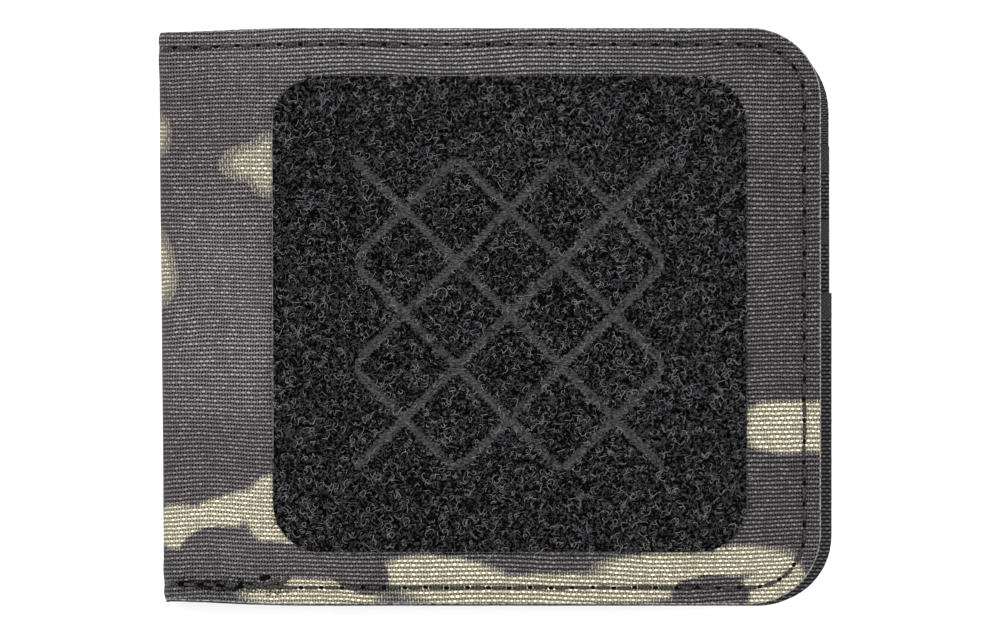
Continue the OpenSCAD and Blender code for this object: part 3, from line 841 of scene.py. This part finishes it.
for half in ("rear", "front"):
    made = stitches(f"{half}_perimeter_stitches", seam_rows(half, 0.5), STITCH_LONG,
                    shell_face(half), stand=STAND[half])
    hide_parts(f"{half}_shell_stitches", "spine_stitches")
    # Painted shade: dark pieces lie in the dips between the stitches, where the thread goes through.
    hole_shades = stitches(f"{half}_needle_hole_shades", seam_rows(half, 0.0), 1.0 * MM, shell_face(half),
                     0.27 * MM, BLACK_FIBRE_AND_SHADE, stand=min(STAND[half], 0.45))
    for piece in (made, hole_shades):
        turn_with_fold(piece)


def curls(points, rng, size, sweep, rise, radius, rings=8):
    """Lines of curly fibres that stand on points, with their sides and radii, for tubes()."""
    n = len(points)
    s = np.linspace(0, 1, rings)[None, :]
    size = size * rng.uniform(0.35, 1.0, (n, 1))
    turn = rng.uniform(0, 2 * PI, (n, 1))
    sweep = sweep * rng.uniform(0.35, 1.0, (n, 1)) * rng.choice([-1, 1], (n, 1))
    drift = rng.uniform(-1.1, 1.1, (2, n, 1)) * size
    tilt = rng.uniform(-0.3, 0.3, (n, 1))
    a = turn + sweep * s
    bend = rng.uniform(0.0, 0.45, (n, 1)) * size
    x0, y0, z0 = (points[:, k, None] for k in range(3))
    x = x0 + size * (np.cos(a) - np.cos(turn)) * 0.8 + drift[0] * s + bend * np.sin(2 * a)
    y = y0 + size * (np.sin(a) - np.sin(turn)) * 0.8 + drift[1] * s + bend * np.cos(1.7 * a)
    z = z0 + rise * rng.uniform(0.1, 1.0, (n, 1)) * np.sin(PI * (0.1 + 0.8 * s))
    z = z + tilt * size * np.cos(2 * a)
    line = np.stack([x, y, z], -1)
    along = np.gradient(line, axis=1)
    along /= np.linalg.norm(along, axis=2)[..., None]
    beside = np.cross(along, [0, 0, 1.0])
    beside /= np.linalg.norm(beside, axis=2)[..., None] + 1e-12
    width = radius * (1 - 0.4 * np.abs(2 * s - 1) ** 4)
    return line, beside, np.cross(beside, along), np.broadcast_to(width, (n, rings))


# ---- Loop panel ----

LOOP_R = 8 * MM
# Pressed quilting: its margin inside the panel, the pitch of its grooves and their width.
QUILT_MARGIN = 13 * MM
QUILT_PITCH = 12 * MM
GROOVE = 1.35 * MM
# Heights over the shell's face, and how far a groove presses the pile down, in mm.
GROUND_TOP = 0.40
PILE_TOP = 0.95
PRESSED_BY = 0.42
panel_mid = (panel_low + panel_high) / 2
panel_w, panel_h = panel_high.x - panel_low.x, panel_high.y - panel_low.y


def in_groove(x, y):
    """1 in the middle of a quilting groove, 0 away from it."""
    x, y = x - panel_mid.x, y - panel_mid.y
    inside = (smooth(0, 0.8 * MM, panel_w / 2 - QUILT_MARGIN - np.abs(x))
              * smooth(0, 0.8 * MM, panel_h / 2 - QUILT_MARGIN - np.abs(y)))
    nearest = 1.0
    for across in ((x + y) / math.sqrt(2), (x - y) / math.sqrt(2)):
        away = np.abs((across / QUILT_PITCH + 0.5) % 1 - 0.5) * QUILT_PITCH
        nearest = np.minimum(nearest, away)
    return inside * (1 - smooth(0.25 * GROOVE, 0.65 * GROOVE, nearest))


def rounded_panel(inset, step):
    """Points and faces of the panel's outline, from two halves that meet in the middle."""
    g1, y0, y1 = panel_high.x - inset, panel_low.y + inset, panel_high.y - inset
    r = LOOP_R - inset
    flat, faces = cut_cloth(panel_mid.x, g1, y0, y1, r, r, step)
    mirrored = flat * [-1, 1] + [2 * panel_mid.x, 0]
    quads = [[tuple(flat[v]) for v in f] for f in faces]
    quads += [[tuple(mirrored[v]) for v in reversed(f)] for f in faces]
    flat, faces = weld(quads)
    right = flat.copy()
    right[:, 0] = panel_mid.x + np.abs(flat[:, 0] - panel_mid.x)
    return flat, faces, edge_distance(right, g1, y0, y1, r, r)


def panel_z(x, y):
    """Height of the shell's outer face under the panel."""
    return stack_top + lift("front", x, y)


def panel_cloth(name, node, flat, faces, z_top, z_low, materials):
    """One layer of the panel, with its corners on the flat and its heights given."""
    x, y = flat.T
    made = thicken(name, flat, faces, settled(x, y, z_top, 1.0), settled(x, y, z_low, 1.0), flat,
                   materials)
    place_on(made, "front_half", node, node)
    return made


def loop_ground_piece():
    flat, faces, d = rounded_panel(0.0, 1.5 * MM)
    base = panel_z(*flat.T)
    made = panel_cloth("loop_panel_ground", "loop_ground", flat, faces,
                       base + GROUND_TOP * MM - 0.2 * MM * np.exp(-d / (0.2 * MM)), base - 0.1 * MM,
                       [BLACK_NYLON, EDGE])
    # Its edge towards the spine is worn pale along the middle.
    for face in made.data.polygons:
        worn = face.center.x < panel_low.x + 0.35 * MM and abs(face.center.y - 6 * MM) < 28 * MM
        face.material_index = int(worn)


def pile_top(x, y, d):
    """Height of the pile's foot, at distance d from the panel's edge, under its loose fibres."""
    high = PILE_TOP - PRESSED_BY * in_groove(x, y) - 0.5 * hill(d / MM, 0.0, 0.7)
    return panel_z(x, y) + high * MM


def loop_pile_piece():
    flat, faces, d = rounded_panel(0.12 * MM, 0.5 * MM)
    x, y = flat.T
    groove = in_groove(x, y)
    clump = np.array([noise.fractal(Vector((a / MM * 0.9, b / MM * 0.9, 0)), 0.8, 2.2, 3)
                      for a, b in flat])
    made = panel_cloth("loop_panel_pile", "loop_pile", flat, faces,
                       pile_top(x, y, d) + 0.2 * MM * clump * (1 - 0.6 * groove),
                       panel_z(x, y) + 0.2 * MM, [LOOP_BASE, PRESSED])
    index = np.zeros(len(made.data.polygons), np.int32)
    index[: len(faces)] = [1 if groove[f].mean() > 0.45 else 0 for f in faces]
    made.data.polygons.foreach_set("material_index", index)


def loop_fibres(kind, count, material, seed, radius, reach, rise):
    """Curly loose fibres on the pile."""
    rng = np.random.default_rng(seed)
    x = rng.uniform(panel_low.x - 0.1 * MM, panel_high.x + 0.1 * MM, 3 * count)
    y = rng.uniform(panel_low.y - 0.1 * MM, panel_high.y + 0.1 * MM, 3 * count)
    span = (panel_high - panel_low) / 2
    corner = np.hypot(np.maximum(np.abs(x - panel_mid.x) - span.x + LOOP_R, 0),
                      np.maximum(np.abs(y - panel_mid.y) - span.y + LOOP_R, 0))
    keep = (corner < LOOP_R) & (rng.random(3 * count) > 0.78 * in_groove(x, y))
    x, y, edge = x[keep][:count], y[keep][:count], (LOOP_R - corner)[keep][:count]
    foot = np.stack([x, y, pile_top(x, y, edge) - 0.04 * MM], -1)
    line, beside, above, width = curls(foot, rng, reach * MM, 5.2, rise * MM, radius * MM)
    line = settle(line.reshape(-1, 3), 1.0).reshape(line.shape)
    made = tubes(f"loop_fibres_{kind}", line, beside, above, width, 3, material)
    place_on(made, "front_half", "loop_pile")


loop_ground_piece()
loop_pile_piece()
# The grey, mid and light fibres are painted highlights on the black pile.
# Radius, reach and rise in mm.
loop_fibres("dark", 4400, BLACK_FIBRE_AND_SHADE, 11, 0.075, 0.70, 0.40)
loop_fibres("grey", 4400, GREY_HIGHLIGHT_FIBRE, 12, 0.052, 0.70, 0.38)
loop_fibres("mid", 4400, GREY_HIGHLIGHT_FIBRE, 14, 0.045, 0.55, 0.44)
loop_fibres("light", 4000, BRIGHT_HIGHLIGHT_FIBRE, 13, 0.038, 0.66, 0.46)

# ---- Flat pieces inside the wallet ----

SLOT_R = CORNER_R - 0.4 * MM
WINDOW_R = 1.5 * MM
BORDER = 9 * MM
HEM_H = 4 * MM
HEM_T = 0.3 * MM
HEM_PITCH = 2.4 * MM
# The air between a pocket's cloth and the next, and the smallest step in a section.
HAIR = 0.02 * MM
# Each half's pockets, from its divider inwards, and the pieces whose mouths are taped.
POCKETS = {"rear": ["rear_slot_high", "rear_slot_mid", "rear_slot_low"],
           "front": ["front_slot_high", "front_slot_mid", "front_id_window"]}
MOUTHS = {"rear": POCKETS["rear"], "front": ["front_slot_high", "front_slot_mid", "front_id_frame"]}
STANDS_PROUD = {"rear_slot_high": 0.05 * MM, "rear_slot_mid": 0.05 * MM, "rear_slot_low": PROUD}


def outline_loop(x0, x1, y0, y1, radii, side=22, arc=9):
    """Points round an outline, from its bottom left. radii are for the corners in that order."""
    loop, arcs = [], []
    spots = [(x0, y0, 1, 1), (x1, y0, -1, 1), (x1, y1, -1, -1), (x0, y1, 1, -1)]
    for k, ((x, y, sx, sy), r) in enumerate(zip(spots, radii)):
        r = max(r, HAIR)
        a = PI + k * PI / 2 + PI / 2 * np.linspace(0, 1, arc)
        arcs.append(np.stack([x + sx * r + r * np.cos(a), y + sy * r + r * np.sin(a)], -1))
    for k in range(4):
        start, end = arcs[k][-1], arcs[(k + 1) % 4][0]
        between = start + (end - start) * np.linspace(0, 1, side + 2)[1:-1, None]
        loop += [arcs[k], between]
    return np.concatenate(loop)


def ring_cut(outer, inner, stations=(0, 0.04, 0.12, 0.3, 0.5, 0.7, 0.88, 0.96, 1)):
    """A flat ring between two outlines, its faces, and how far across it each point lies."""
    n = len(outer)
    flat = np.concatenate([outer + s * (inner - outer) for s in stations])
    across = np.repeat(stations, n)
    faces = [[k * n + i, k * n + (i + 1) % n, (k + 1) * n + (i + 1) % n, (k + 1) * n + i]
             for k in range(len(stations) - 1) for i in range(n)]
    return flat, faces, across


def strip_cut(x0, x1, y0, y1, nx, ny):
    """A flat rectangle with lines close to its edges."""
    def lines(a, b, n):
        near = min(0.2 * MM, (b - a) / 8)
        return np.concatenate([[a, a + near], np.linspace(a, b, n + 2)[1:-1], [b - near, b]])
    return weld(grid_block(np.sort(lines(x0, x1, nx)), np.sort(lines(y0, y1, ny))))


def on_half(half, depth):
    """Gives points of a half's stack at a depth that may vary."""
    return lambda x, y, more: wrap(half, girth(x), y, depth + more)[0]


def at_height(z):
    """Gives points of the leaf at height z, which more lifts."""
    return lambda x, y, more: settled(x, y, z + more)


def lay(name, body, flat, faces, low, high, edge, material, slot, replaced):
    """A thin piece between two faces, each a (place, sign) pair, with its edges eased. edge is each
    point's distance in from the piece's own edge."""
    x, y = flat.T
    ease = 0.10 * MM * hill(edge, 0.0, 0.22 * MM)
    wave = 0.03 * MM * ripple(x, y, 7 * MM, 1) * smooth(0, 3 * MM, edge)
    outer = low[0](x, y, low[1] * ease + wave)
    inner = high[0](x, y, high[1] * ease + wave)
    made = thicken(name, flat, faces, outer, inner, flat, material)
    place_on(made, body, slot, *replaced)


def depth_range(half, node):
    """How deep in a half's stack a node's two faces lie, outer first."""
    low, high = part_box(node)
    return (low.z, high.z) if half == "rear" else (stack_top - high.z, stack_top - low.z)


def pocket(half, node):
    """A pocket's cloth, with its bottom corner rounded at the free edge."""
    low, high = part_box(node)
    x1 = free_x[half] + STANDS_PROUD.get(node, 0.0)
    flat, faces = cut_cloth(low.x, x1, low.y, high.y, SLOT_R, 0, STEP)
    edge = np.minimum(edge_distance(flat, x1, low.y, high.y, SLOT_R, 0), flat[:, 0] - low.x)
    outer, inner = depth_range(half, node)
    material, slot = (FILM, "clear_film") if "window" in node else (BLACK_NYLON, "black_nylon")
    lay(f"{node}_cloth", f"{half}_half", flat, faces, (on_half(half, outer), 1),
        (on_half(half, inner - HAIR), -1), edge, material, slot, [node])


def half_strip(name, half, x0, x1, y0, y1, outer, inner, replaced):
    """A strip of tape with a crowned face."""
    flat, faces = strip_cut(x0, x1, y0, y1, 60, 5)
    edge = np.minimum(np.minimum(flat[:, 0] - x0, x1 - flat[:, 0]),
                      np.minimum(flat[:, 1] - y0, y1 - flat[:, 1]))
    lay(name, f"{half}_half", flat, faces, (on_half(half, outer), 0), (on_half(half, inner), -1),
        edge, TAPE, "tape", replaced)


def tube_faces(n, m):
    """Faces of a closed solid through n sections of m points each."""
    faces = [[i * m + k, i * m + (k + 1) % m, (i + 1) * m + (k + 1) % m, (i + 1) * m + k]
             for i in range(n - 1) for k in range(m)]
    return faces + [list(range(m)), [(n - 1) * m + k for k in reversed(range(m))]]


def run_length(path):
    """How far along a path each of its points lies."""
    return np.concatenate([[0], np.cumsum(np.hypot(*np.diff(path, axis=0).T))])


def swept_piece(name, points, section, t, material):
    """A closed solid through one section of points for each length t."""
    uv = np.stack(np.broadcast_arrays(t[:, None], run_length(section)[None, :]), -1)
    return new_object(name, points, tube_faces(len(t), len(section)), material,
                      uv.reshape(-1, 2), sharp=40)


def along_path(name, path, inward, profile, place, material, t):
    """A solid whose profile of (inward, height) points runs along a path on the flat. place turns
    flat points and heights into the piece's own."""
    profile = np.array(profile)
    flat = path[:, None, :] + inward[:, None, :] * profile[None, :, :1]
    height = np.broadcast_to(profile[:, 1], flat.shape[:2])
    return swept_piece(name, place(flat.reshape(-1, 2), height.ravel()), profile, t, material)


def bill_seam(half):
    """The sewn edge that closes the bill compartment."""
    seam = Seam(half, 0.3 * MM)
    start, end = girth(spine_x + 4 * MM), seam.turn + seam.arc + seam.side
    t = np.linspace(start, end, round((end - start) / TAPE_STEP))
    g, y, inward_g, inward_y = seam.place(t)
    outer, inner = depth_range(half, f"{half}_bill_seam")
    mid = (outer + inner) / 2
    ring = [(0.15, outer), (0.0, mid), (0.15, inner), (1.2, inner), (2.4, inner), (3.2, inner),
            (3.3, mid), (3.2, outer), (2.4, outer), (1.2, outer)]

    def place(flat, z):
        return wrap(half, flat[:, 0], flat[:, 1], z)[0]

    made = along_path(f"{half}_bill_seam_tape", np.stack([g, y], -1),
                      np.stack([inward_g, inward_y], -1), [(a * MM, z) for a, z in ring], place,
                      TAPE, t)
    place_on(made, f"{half}_half", "tape", f"{half}_bill_seam")


for half in POCKETS:
    bill_seam(half)
    node = f"{half}_divider_hem"
    low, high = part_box(node)
    outer, inner = depth_range(half, node)
    half_strip(f"{half}_divider_tape", half, low.x, high.x, low.y, high.y, outer - 0.05 * MM, inner,
               [node])

for half, nodes in POCKETS.items():
    for node in nodes:
        pocket(half, node)


def frame_piece(name, body, outline, opening, low, high, node):
    """A cloth frame round a window, with a turned edge at its opening."""
    flat, faces, across = ring_cut(outline_loop(*outline), outline_loop(*opening))
    edge = np.minimum(across, 1 - across) * 8 * MM
    lay(name, body, flat, faces, (low, 1), (high, -1), edge, BLACK_NYLON, "black_nylon", [node])


low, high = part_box("front_id_frame")
outer, inner = depth_range("front", "front_id_frame")
frame_piece("front_id_frame_cloth", "front_half",
            (low.x, high.x, low.y, high.y, (0, SLOT_R, 0, 0)),
            (low.x + BORDER, free_x["front"] - BORDER, low.y - 0.4 * MM + BORDER, high.y - BORDER,
             (WINDOW_R,) * 4),
            on_half("front", outer), on_half("front", inner - HAIR), "front_id_frame")

# Tapes over the pockets' mouths.
for half, nodes in MOUTHS.items():
    for node in nodes:
        low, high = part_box(node)
        _, inner = depth_range(half, node)
        end = PROUD if node == "rear_slot_low" else 0.0
        half_strip(f"{node}_cloth_hem", half, low.x + 0.05 * MM, free_x[half] + end,
                   high.y - HEM_H, high.y + 0.12 * MM, inner - 0.05 * MM, inner + HEM_T,
                   [f"{half}_slot_hems"])


def row(x0, y0, x1, y1, pitch=STITCH_PITCH):
    """Stitches along a straight line."""
    length = math.hypot(x1 - x0, y1 - y0)
    n = max(1, round(length / pitch))
    t = (np.arange(n)[:, None] + 0.5) / n
    line = np.array([[x0, y0]]) * (1 - t) + np.array([[x1, y1]]) * t
    along = np.array([x1 - x0, y1 - y0]) / length
    return np.concatenate([line, np.repeat(along[None, :], n, axis=0)], axis=1)


def corner_row(x, y, r, n):
    """Stitches round a lower free corner about x, y."""
    turn = np.linspace(0, PI / 2, 2 * n + 1)[1::2] - PI / 2
    return np.stack([x + r * np.cos(turn), y + r * np.sin(turn), -np.sin(turn), np.cos(turn)], -1)


def slot_threads(half):
    """Seams down both sides of the slots, along their bottom and under each hem."""
    nodes = MOUTHS[half]
    x_in, x_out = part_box(nodes[-1])[0].x + 1.6 * MM, free_x[half] - SEAM_INSET
    y0 = shell_low[half].y
    turn_x, turn_y = free_x[half] - CORNER_R, y0 + CORNER_R
    levels = []
    floor_y = turn_y
    for node in reversed(nodes):
        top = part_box(node)[1].y
        _, inner = depth_range(half, node)
        for x in (x_in, x_out):
            levels.append((row(x, floor_y, x, top - HEM_H - 0.4 * MM), inner))
        hem_y = top - HEM_H + 0.7 * MM
        levels.append((row(x_in - 1 * MM, hem_y, x_out + 2 * MM, hem_y, HEM_PITCH), inner + HEM_T))
        floor_y = top + 0.4 * MM
    _, inner = depth_range(half, nodes[-1])
    levels.append((row(x_in + 1.5 * MM, y0 + SEAM_INSET, turn_x, y0 + SEAM_INSET), inner))
    levels.append((corner_row(turn_x, turn_y, CORNER_R - SEAM_INSET, 4), inner))
    rows = np.concatenate([r for r, _ in levels])
    depth = np.concatenate([np.full(len(r), d) for r, d in levels])

    def surface(x, y):
        points, normal = wrap(half, girth(x), y, np.repeat(depth, STITCH_RINGS))
        return points, -normal

    made = stitches(f"{half}_slot_threads", rows, INNER_STITCH_LONG, surface, 0.17 * MM)
    place_on(made, f"{half}_half", "thread", f"{half}_slot_stitches")


slot_threads("rear")
slot_threads("front")

# ---- Centre leaf ----

LEAF_R = 6 * MM
LEAF_SEAM = 2 * MM
THUMB_R = 4.4 * MM
leaf_x0, leaf_x1, leaf_y0, leaf_y1 = frame_low.x, frame_high.x, frame_low.y, frame_high.y
leaf_mid = (leaf_x0 + leaf_x1) / 2

for face in ("rear", "front"):
    border, window = f"leaf_{face}_frame", f"leaf_{face}_window"
    low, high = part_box(border)
    frame_piece(f"{border}_cloth", "centre_leaf",
                (low.x, high.x, low.y, high.y, (0, LEAF_R, LEAF_R, 0)),
                (low.x + BORDER, high.x - BORDER, low.y + BORDER, high.y - BORDER, (WINDOW_R,) * 4),
                at_height(low.z), at_height(high.z), border)
    # The window has a slot for the thumb, near its bottom.
    low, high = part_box(window)
    slot_y = leaf_y0 + BORDER + 2 * MM
    flat, faces, across = ring_cut(
        outline_loop(low.x, high.x, low.y, high.y, (0, LEAF_R, LEAF_R, 0)),
        outline_loop(leaf_mid - 9 * MM, leaf_mid + 9 * MM, slot_y, slot_y + 9 * MM, (THUMB_R,) * 4),
        np.linspace(0, 1, 12))
    edge = np.minimum(across, 1 - across) * 8 * MM
    lay(f"{window}_film", "centre_leaf", flat, faces, (at_height(low.z), 1),
        (at_height(high.z), -1), edge, FILM, "clear_film", [window])


def leaf_path(x_start, top=True):
    """The leaf's edge from its bottom left round its free side, and inward directions."""
    r = LEAF_R
    points, inward = [], []

    def run(a, b, way):
        n = max(2, round(math.dist(a, b) / TAPE_STEP))
        for t in np.linspace(0, 1, n, endpoint=False):
            points.append((a[0] + (b[0] - a[0]) * t, a[1] + (b[1] - a[1]) * t))
            inward.append(way)

    def turn(cx, cy, start):
        for t in np.linspace(0, PI / 2, 10, endpoint=False):
            points.append((cx + r * math.cos(start + t), cy + r * math.sin(start + t)))
            inward.append((-math.cos(start + t), -math.sin(start + t)))

    run((x_start, leaf_y0), (leaf_x1 - r, leaf_y0), (0, 1))
    turn(leaf_x1 - r, leaf_y0 + r, -PI / 2)
    run((leaf_x1, leaf_y0 + r), (leaf_x1, leaf_y1 - r), (-1, 0))
    if top:
        turn(leaf_x1 - r, leaf_y1 - r, 0)
        points.append((leaf_x1 - r, leaf_y1))
        inward.append((0, -1))
    return np.array(points), np.array(inward)


def leaf_edge(name, x_start, ring, material, slot, replaced, top=True):
    """A strip whose ring of (inward, z) points runs along the leaf's edge."""
    path, inward = leaf_path(x_start, top)
    made = along_path(name, path, inward, ring, lambda flat, z: settled(*flat.T, z), material,
                      run_length(path))
    place_on(made, "centre_leaf", slot, replaced)


def leaf_binding():
    """Tape folded over the leaf's bottom and free edges, open like a U."""
    low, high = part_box("leaf_binding")
    mid, half_t, t = (low.z + high.z) / 2, (high.z - low.z) / 2, 0.22 * MM
    outer = [(3.75 * MM, mid - half_t + HAIR)]
    outer += [(a * MM, mid - half_t) for a in (3.6, 2.4, 1.2, 0.5)]
    outer += [(0.35 * MM - 0.6 * MM * math.cos(a), mid + half_t * math.sin(a))
              for a in np.linspace(-1.1, 1.1, 9)]
    outer += [(a * MM, mid + half_t) for a in (0.5, 1.2, 2.4, 3.6)]
    outer += [(3.75 * MM, mid + half_t - HAIR)]
    inner = [(max(a, HAIR) + (0.0 if a > 1 * MM else HAIR), z - math.copysign(t, z - mid))
             for a, z in outer if abs(z - mid) > t]
    leaf_edge("leaf_binding_tape", low.x, outer + inner[::-1], TAPE, "tape", "leaf_binding")


def leaf_seams():
    """The strips that close the leaf's pocket."""
    low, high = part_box("leaf_side_seams")
    mid, x1 = (low.z + high.z) / 2, leaf_x0 + 3 * MM
    ring = [(0.6, low.z), (0.5, mid), (0.6, high.z), (1.8, high.z), (2.9, high.z), (3.0, mid),
            (2.9, low.z), (1.8, low.z)]
    leaf_edge("leaf_seam_strip", leaf_x0 + 0.2 * MM, [(a * MM, z) for a, z in ring], BLACK_NYLON,
              "black_nylon", "leaf_side_seams", top=False)
    flat, faces = strip_cut(leaf_x0, x1, leaf_y0 + 3.1 * MM, leaf_y1 - 1 * MM, 5, 50)
    edge = np.minimum(flat[:, 0] - leaf_x0, x1 - flat[:, 0])
    lay("leaf_inner_seam_strip", "centre_leaf", flat, faces, (at_height(low.z), 1),
        (at_height(high.z), -1), edge, BLACK_NYLON, "black_nylon", ["leaf_side_seams"])


def leaf_hems():
    """A tape over the mouth of each of the leaf's faces."""
    low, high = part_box("leaf_mouth_hems")
    flat, faces = strip_cut(low.x, high.x, low.y, high.y, 60, 5)
    edge = np.minimum(flat[:, 1] - low.y, high.y - flat[:, 1])
    tape_t = 0.25 * MM
    for face, z0, z1, ease_low, ease_high in (("rear", low.z, low.z + tape_t, 1, 0),
                                              ("front", high.z - tape_t, high.z, 0, -1)):
        lay(f"leaf_{face}_mouth_tape", "centre_leaf", flat, faces, (at_height(z0), ease_low),
            (at_height(z1), ease_high), edge, TAPE, "tape", ["leaf_mouth_hems"])


def along_spine(name, section, low, high, body, node, n=60):
    """A closed section of (x, z) points drawn out along the spine, from low to high in y."""
    section = np.array(section)
    ys = np.linspace(low.y, high.y, n)
    x, z = np.tile(section, (n, 1)).T
    points = settled(x, np.repeat(ys, len(section)), z)
    place_on(swept_piece(name, points, section, ys, TAPE), body, "tape", node)


def leaf_hinge():
    """The tape on the spine and the rolled tab that turns on it."""
    low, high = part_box("leaf_hinge_tape")
    x0, x1, z0, z1 = low.x, high.x, low.z, high.z
    ease = 0.12 * MM
    section = [(x0, z0), (x1 - ease, z0), (x1, z0 + ease)]
    section += [(x1 + HAIR * math.sin(k), z0 + (z1 - z0) * k / 10) for k in range(1, 10)]
    section += [(x1, z1 - ease), (x1 - ease, z1), (x0, z1), (x0, (z0 + z1) / 2)]
    along_spine("leaf_hinge_tape_cloth", section, low, high, "spine", "leaf_hinge_tape")
    low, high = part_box("leaf_hinge_tab")
    mid, half_t, r = (low.z + high.z) / 2, (high.z - low.z) / 2, 0.25 * MM
    lap_x, end_x, t = leaf_x0 - 0.8 * MM, high.x, 0.25 * MM
    # The upper side, from the roll round the tape to the lap over the leaf's face.
    upper = [(low.x + r - r * math.cos(a), r * math.sin(a)) for a in np.linspace(0, 2.0, 8)]
    upper += [(lap_x - 0.5 * MM, r), (lap_x - 0.1 * MM, r + 0.15 * MM), (lap_x, half_t * 0.7),
              (lap_x + 0.25 * MM, half_t - 0.05 * MM), (lap_x + 0.6 * MM, half_t),
              (lap_x + 2.2 * MM, half_t), (end_x - 0.1 * MM, half_t),
              (end_x, half_t - 0.1 * MM), (end_x - 0.1 * MM, half_t - t),
              (lap_x + 0.85 * MM, half_t - t), (lap_x + 0.75 * MM, 0.3 * MM)]
    section = [(x, mid + z) for x, z in upper] + [(x, mid - z) for x, z in reversed(upper[1:])]
    along_spine("leaf_hinge_tab_cloth", section, low, high, "centre_leaf", "leaf_hinge_tab")


def leaf_threads():
    """Seams along the leaf's binding, hems and tab, on both faces."""
    low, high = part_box("leaf_binding")
    hem_low, hem_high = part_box("leaf_mouth_hems")
    y_low, x_out, x_tab = leaf_y0 + LEAF_SEAM, leaf_x1 - LEAF_SEAM, leaf_x0 + 2.6 * MM
    turn_x, turn_y, hem_y = leaf_x1 - LEAF_R, leaf_y0 + LEAF_R, hem_low.y + 0.7 * MM
    rows = np.concatenate([
        row(leaf_x0 + 5 * MM, y_low, turn_x, y_low),
        corner_row(turn_x, turn_y, LEAF_R - LEAF_SEAM, 2),
        row(x_out, turn_y, x_out, leaf_y1 - LEAF_R),
        row(hem_low.x + 1 * MM, hem_y, hem_high.x - 1 * MM, hem_y, HEM_PITCH),
        row(x_tab, y_low, x_tab, leaf_y1 - LEAF_SEAM)])
    for face, z, way in (("rear", low.z, -1.0), ("front", high.z, 1.0)):
        def surface(x, y, z=z, way=way):
            up = np.zeros((len(x), 3))
            up[:, 2] = way
            return settled(x, y, z - way * 0.05 * MM), up
        made = stitches(f"leaf_{face}_threads", rows, INNER_STITCH_LONG, surface, 0.10 * MM)
        place_on(made, "centre_leaf", "thread", "leaf_stitches")


leaf_binding()
leaf_seams()
leaf_hems()
leaf_hinge()
leaf_threads()

# ---- Where the seam's ends meet on the front ----


def seam_knot():
    """Thread sewn back and forth, with loose ends, beside the bottom seam."""
    surface = shell_face("front")
    x0, y0 = girth(-36.2 * MM), shell_low["front"].y + SEAM_INSET
    rows = [(x0 - 1.2 * MM, y0 + 0.5 * MM, 0.98, 0.2), (x0 + 1.0 * MM, y0 + 0.1 * MM, 0.99, -0.1),
            (x0 + 0.1 * MM, y0 + 1.0 * MM, 0.9, 0.43), (x0 - 2.3 * MM, y0 + 0.1 * MM, 0.95, -0.3),
            (x0 + 1.7 * MM, y0 + 0.9 * MM, 0.8, 0.6)]
    made = stitches("seam_knot", rows, 3.0 * MM, surface, 0.3 * MM)
    place_on(made, "front_half", "thread", "front_seam_tack")
    # Painted shade: a dark piece lies in the hole where the knot's thread goes through.
    hole_shade = [(x0 - 1.4 * MM, y0 + 1.5 * MM, 0.97, 0.24)]
    made = stitches("seam_knot_hole_shade", hole_shade, 2.6 * MM, surface, 0.45 * MM, BLACK_FIBRE_AND_SHADE, stand=-0.1)
    place_on(made, "front_half", "thread")
    rng = np.random.default_rng(21)
    n = 420
    along = rng.uniform(-15.5 * MM, 2.5 * MM, n)
    foot, _ = surface(x0 + along, y0 + rng.normal(0, 0.45 * MM, n))
    line, beside, above, width = curls(foot, rng, 0.5 * MM, 5.0, 0.2 * MM, 0.05 * MM)
    place_on(tubes("seam_fuzz", line, beside, above, width, 3, BLACK_FIBRE_AND_SHADE), "front_half", "thread")


seam_knot()

# ---- Stage, light and camera ----


# The floor lies just under the rear's thread, the lowest thing on the wallet.
FLOOR_Z = -0.12 * MM
FLOOR_HALF = 1.5


def floor():
    r = FLOOR_HALF
    mesh = bpy.data.meshes.new("floor")
    mesh.from_pydata([(-r, -r, 0), (r, -r, 0), (r, r, 0), (-r, r, 0)], [], [(0, 1, 2, 3)])
    mesh.materials.append(Nodes("pale_floor").surface((0.98, 0.98, 0.98, 1), 0.9))
    made = add_object("floor", mesh)
    made.location.z = FLOOR_Z


def area_light(name, place, size, power):
    """A square light that faces the wallet. Sizes are in metres and power in watts."""
    light = bpy.data.lights.new(name, "AREA")
    light.shape = "SQUARE"
    light.size = size
    light.energy = power
    made = add_object(name, light)
    made.location = place
    made.rotation_euler = (-Vector(place)).to_track_quat("-Z", "Y").to_euler()


floor()
area_light("key", (-0.40, 0.60, 0.75), 0.5, 11.0)
area_light("fill", (0.7, 0.1, 0.8), 0.8, 8.0)
area_light("front", (0.0, -0.8, 0.6), 0.8, 6.0)

WORLD_LIGHT = 0.72
world = bpy.data.worlds.new("studio")
world.use_nodes = True
background = world.node_tree.nodes["Background"].inputs
background[0].default_value = (1, 1, 1, 1)
background[1].default_value = WORLD_LIGHT
bpy.context.scene.world = world
bpy.context.scene.view_settings.view_transform = "Standard"

# The camera looks straight down, so that VIEW_WIDTH of the front fills the frame.
VIEW_WIDTH = 162.5 * MM
VIEW_X, VIEW_Y = 0.9 * MM, -0.4 * MM
camera = bpy.data.cameras.new("camera")
camera.lens = 400
camera.sensor_width = 36
view_height = VIEW_WIDTH * camera.lens / camera.sensor_width
camera_object = add_object("camera", camera)
camera_object.location = (VIEW_X, VIEW_Y, stack_top + view_height)
bpy.context.scene.camera = camera_object
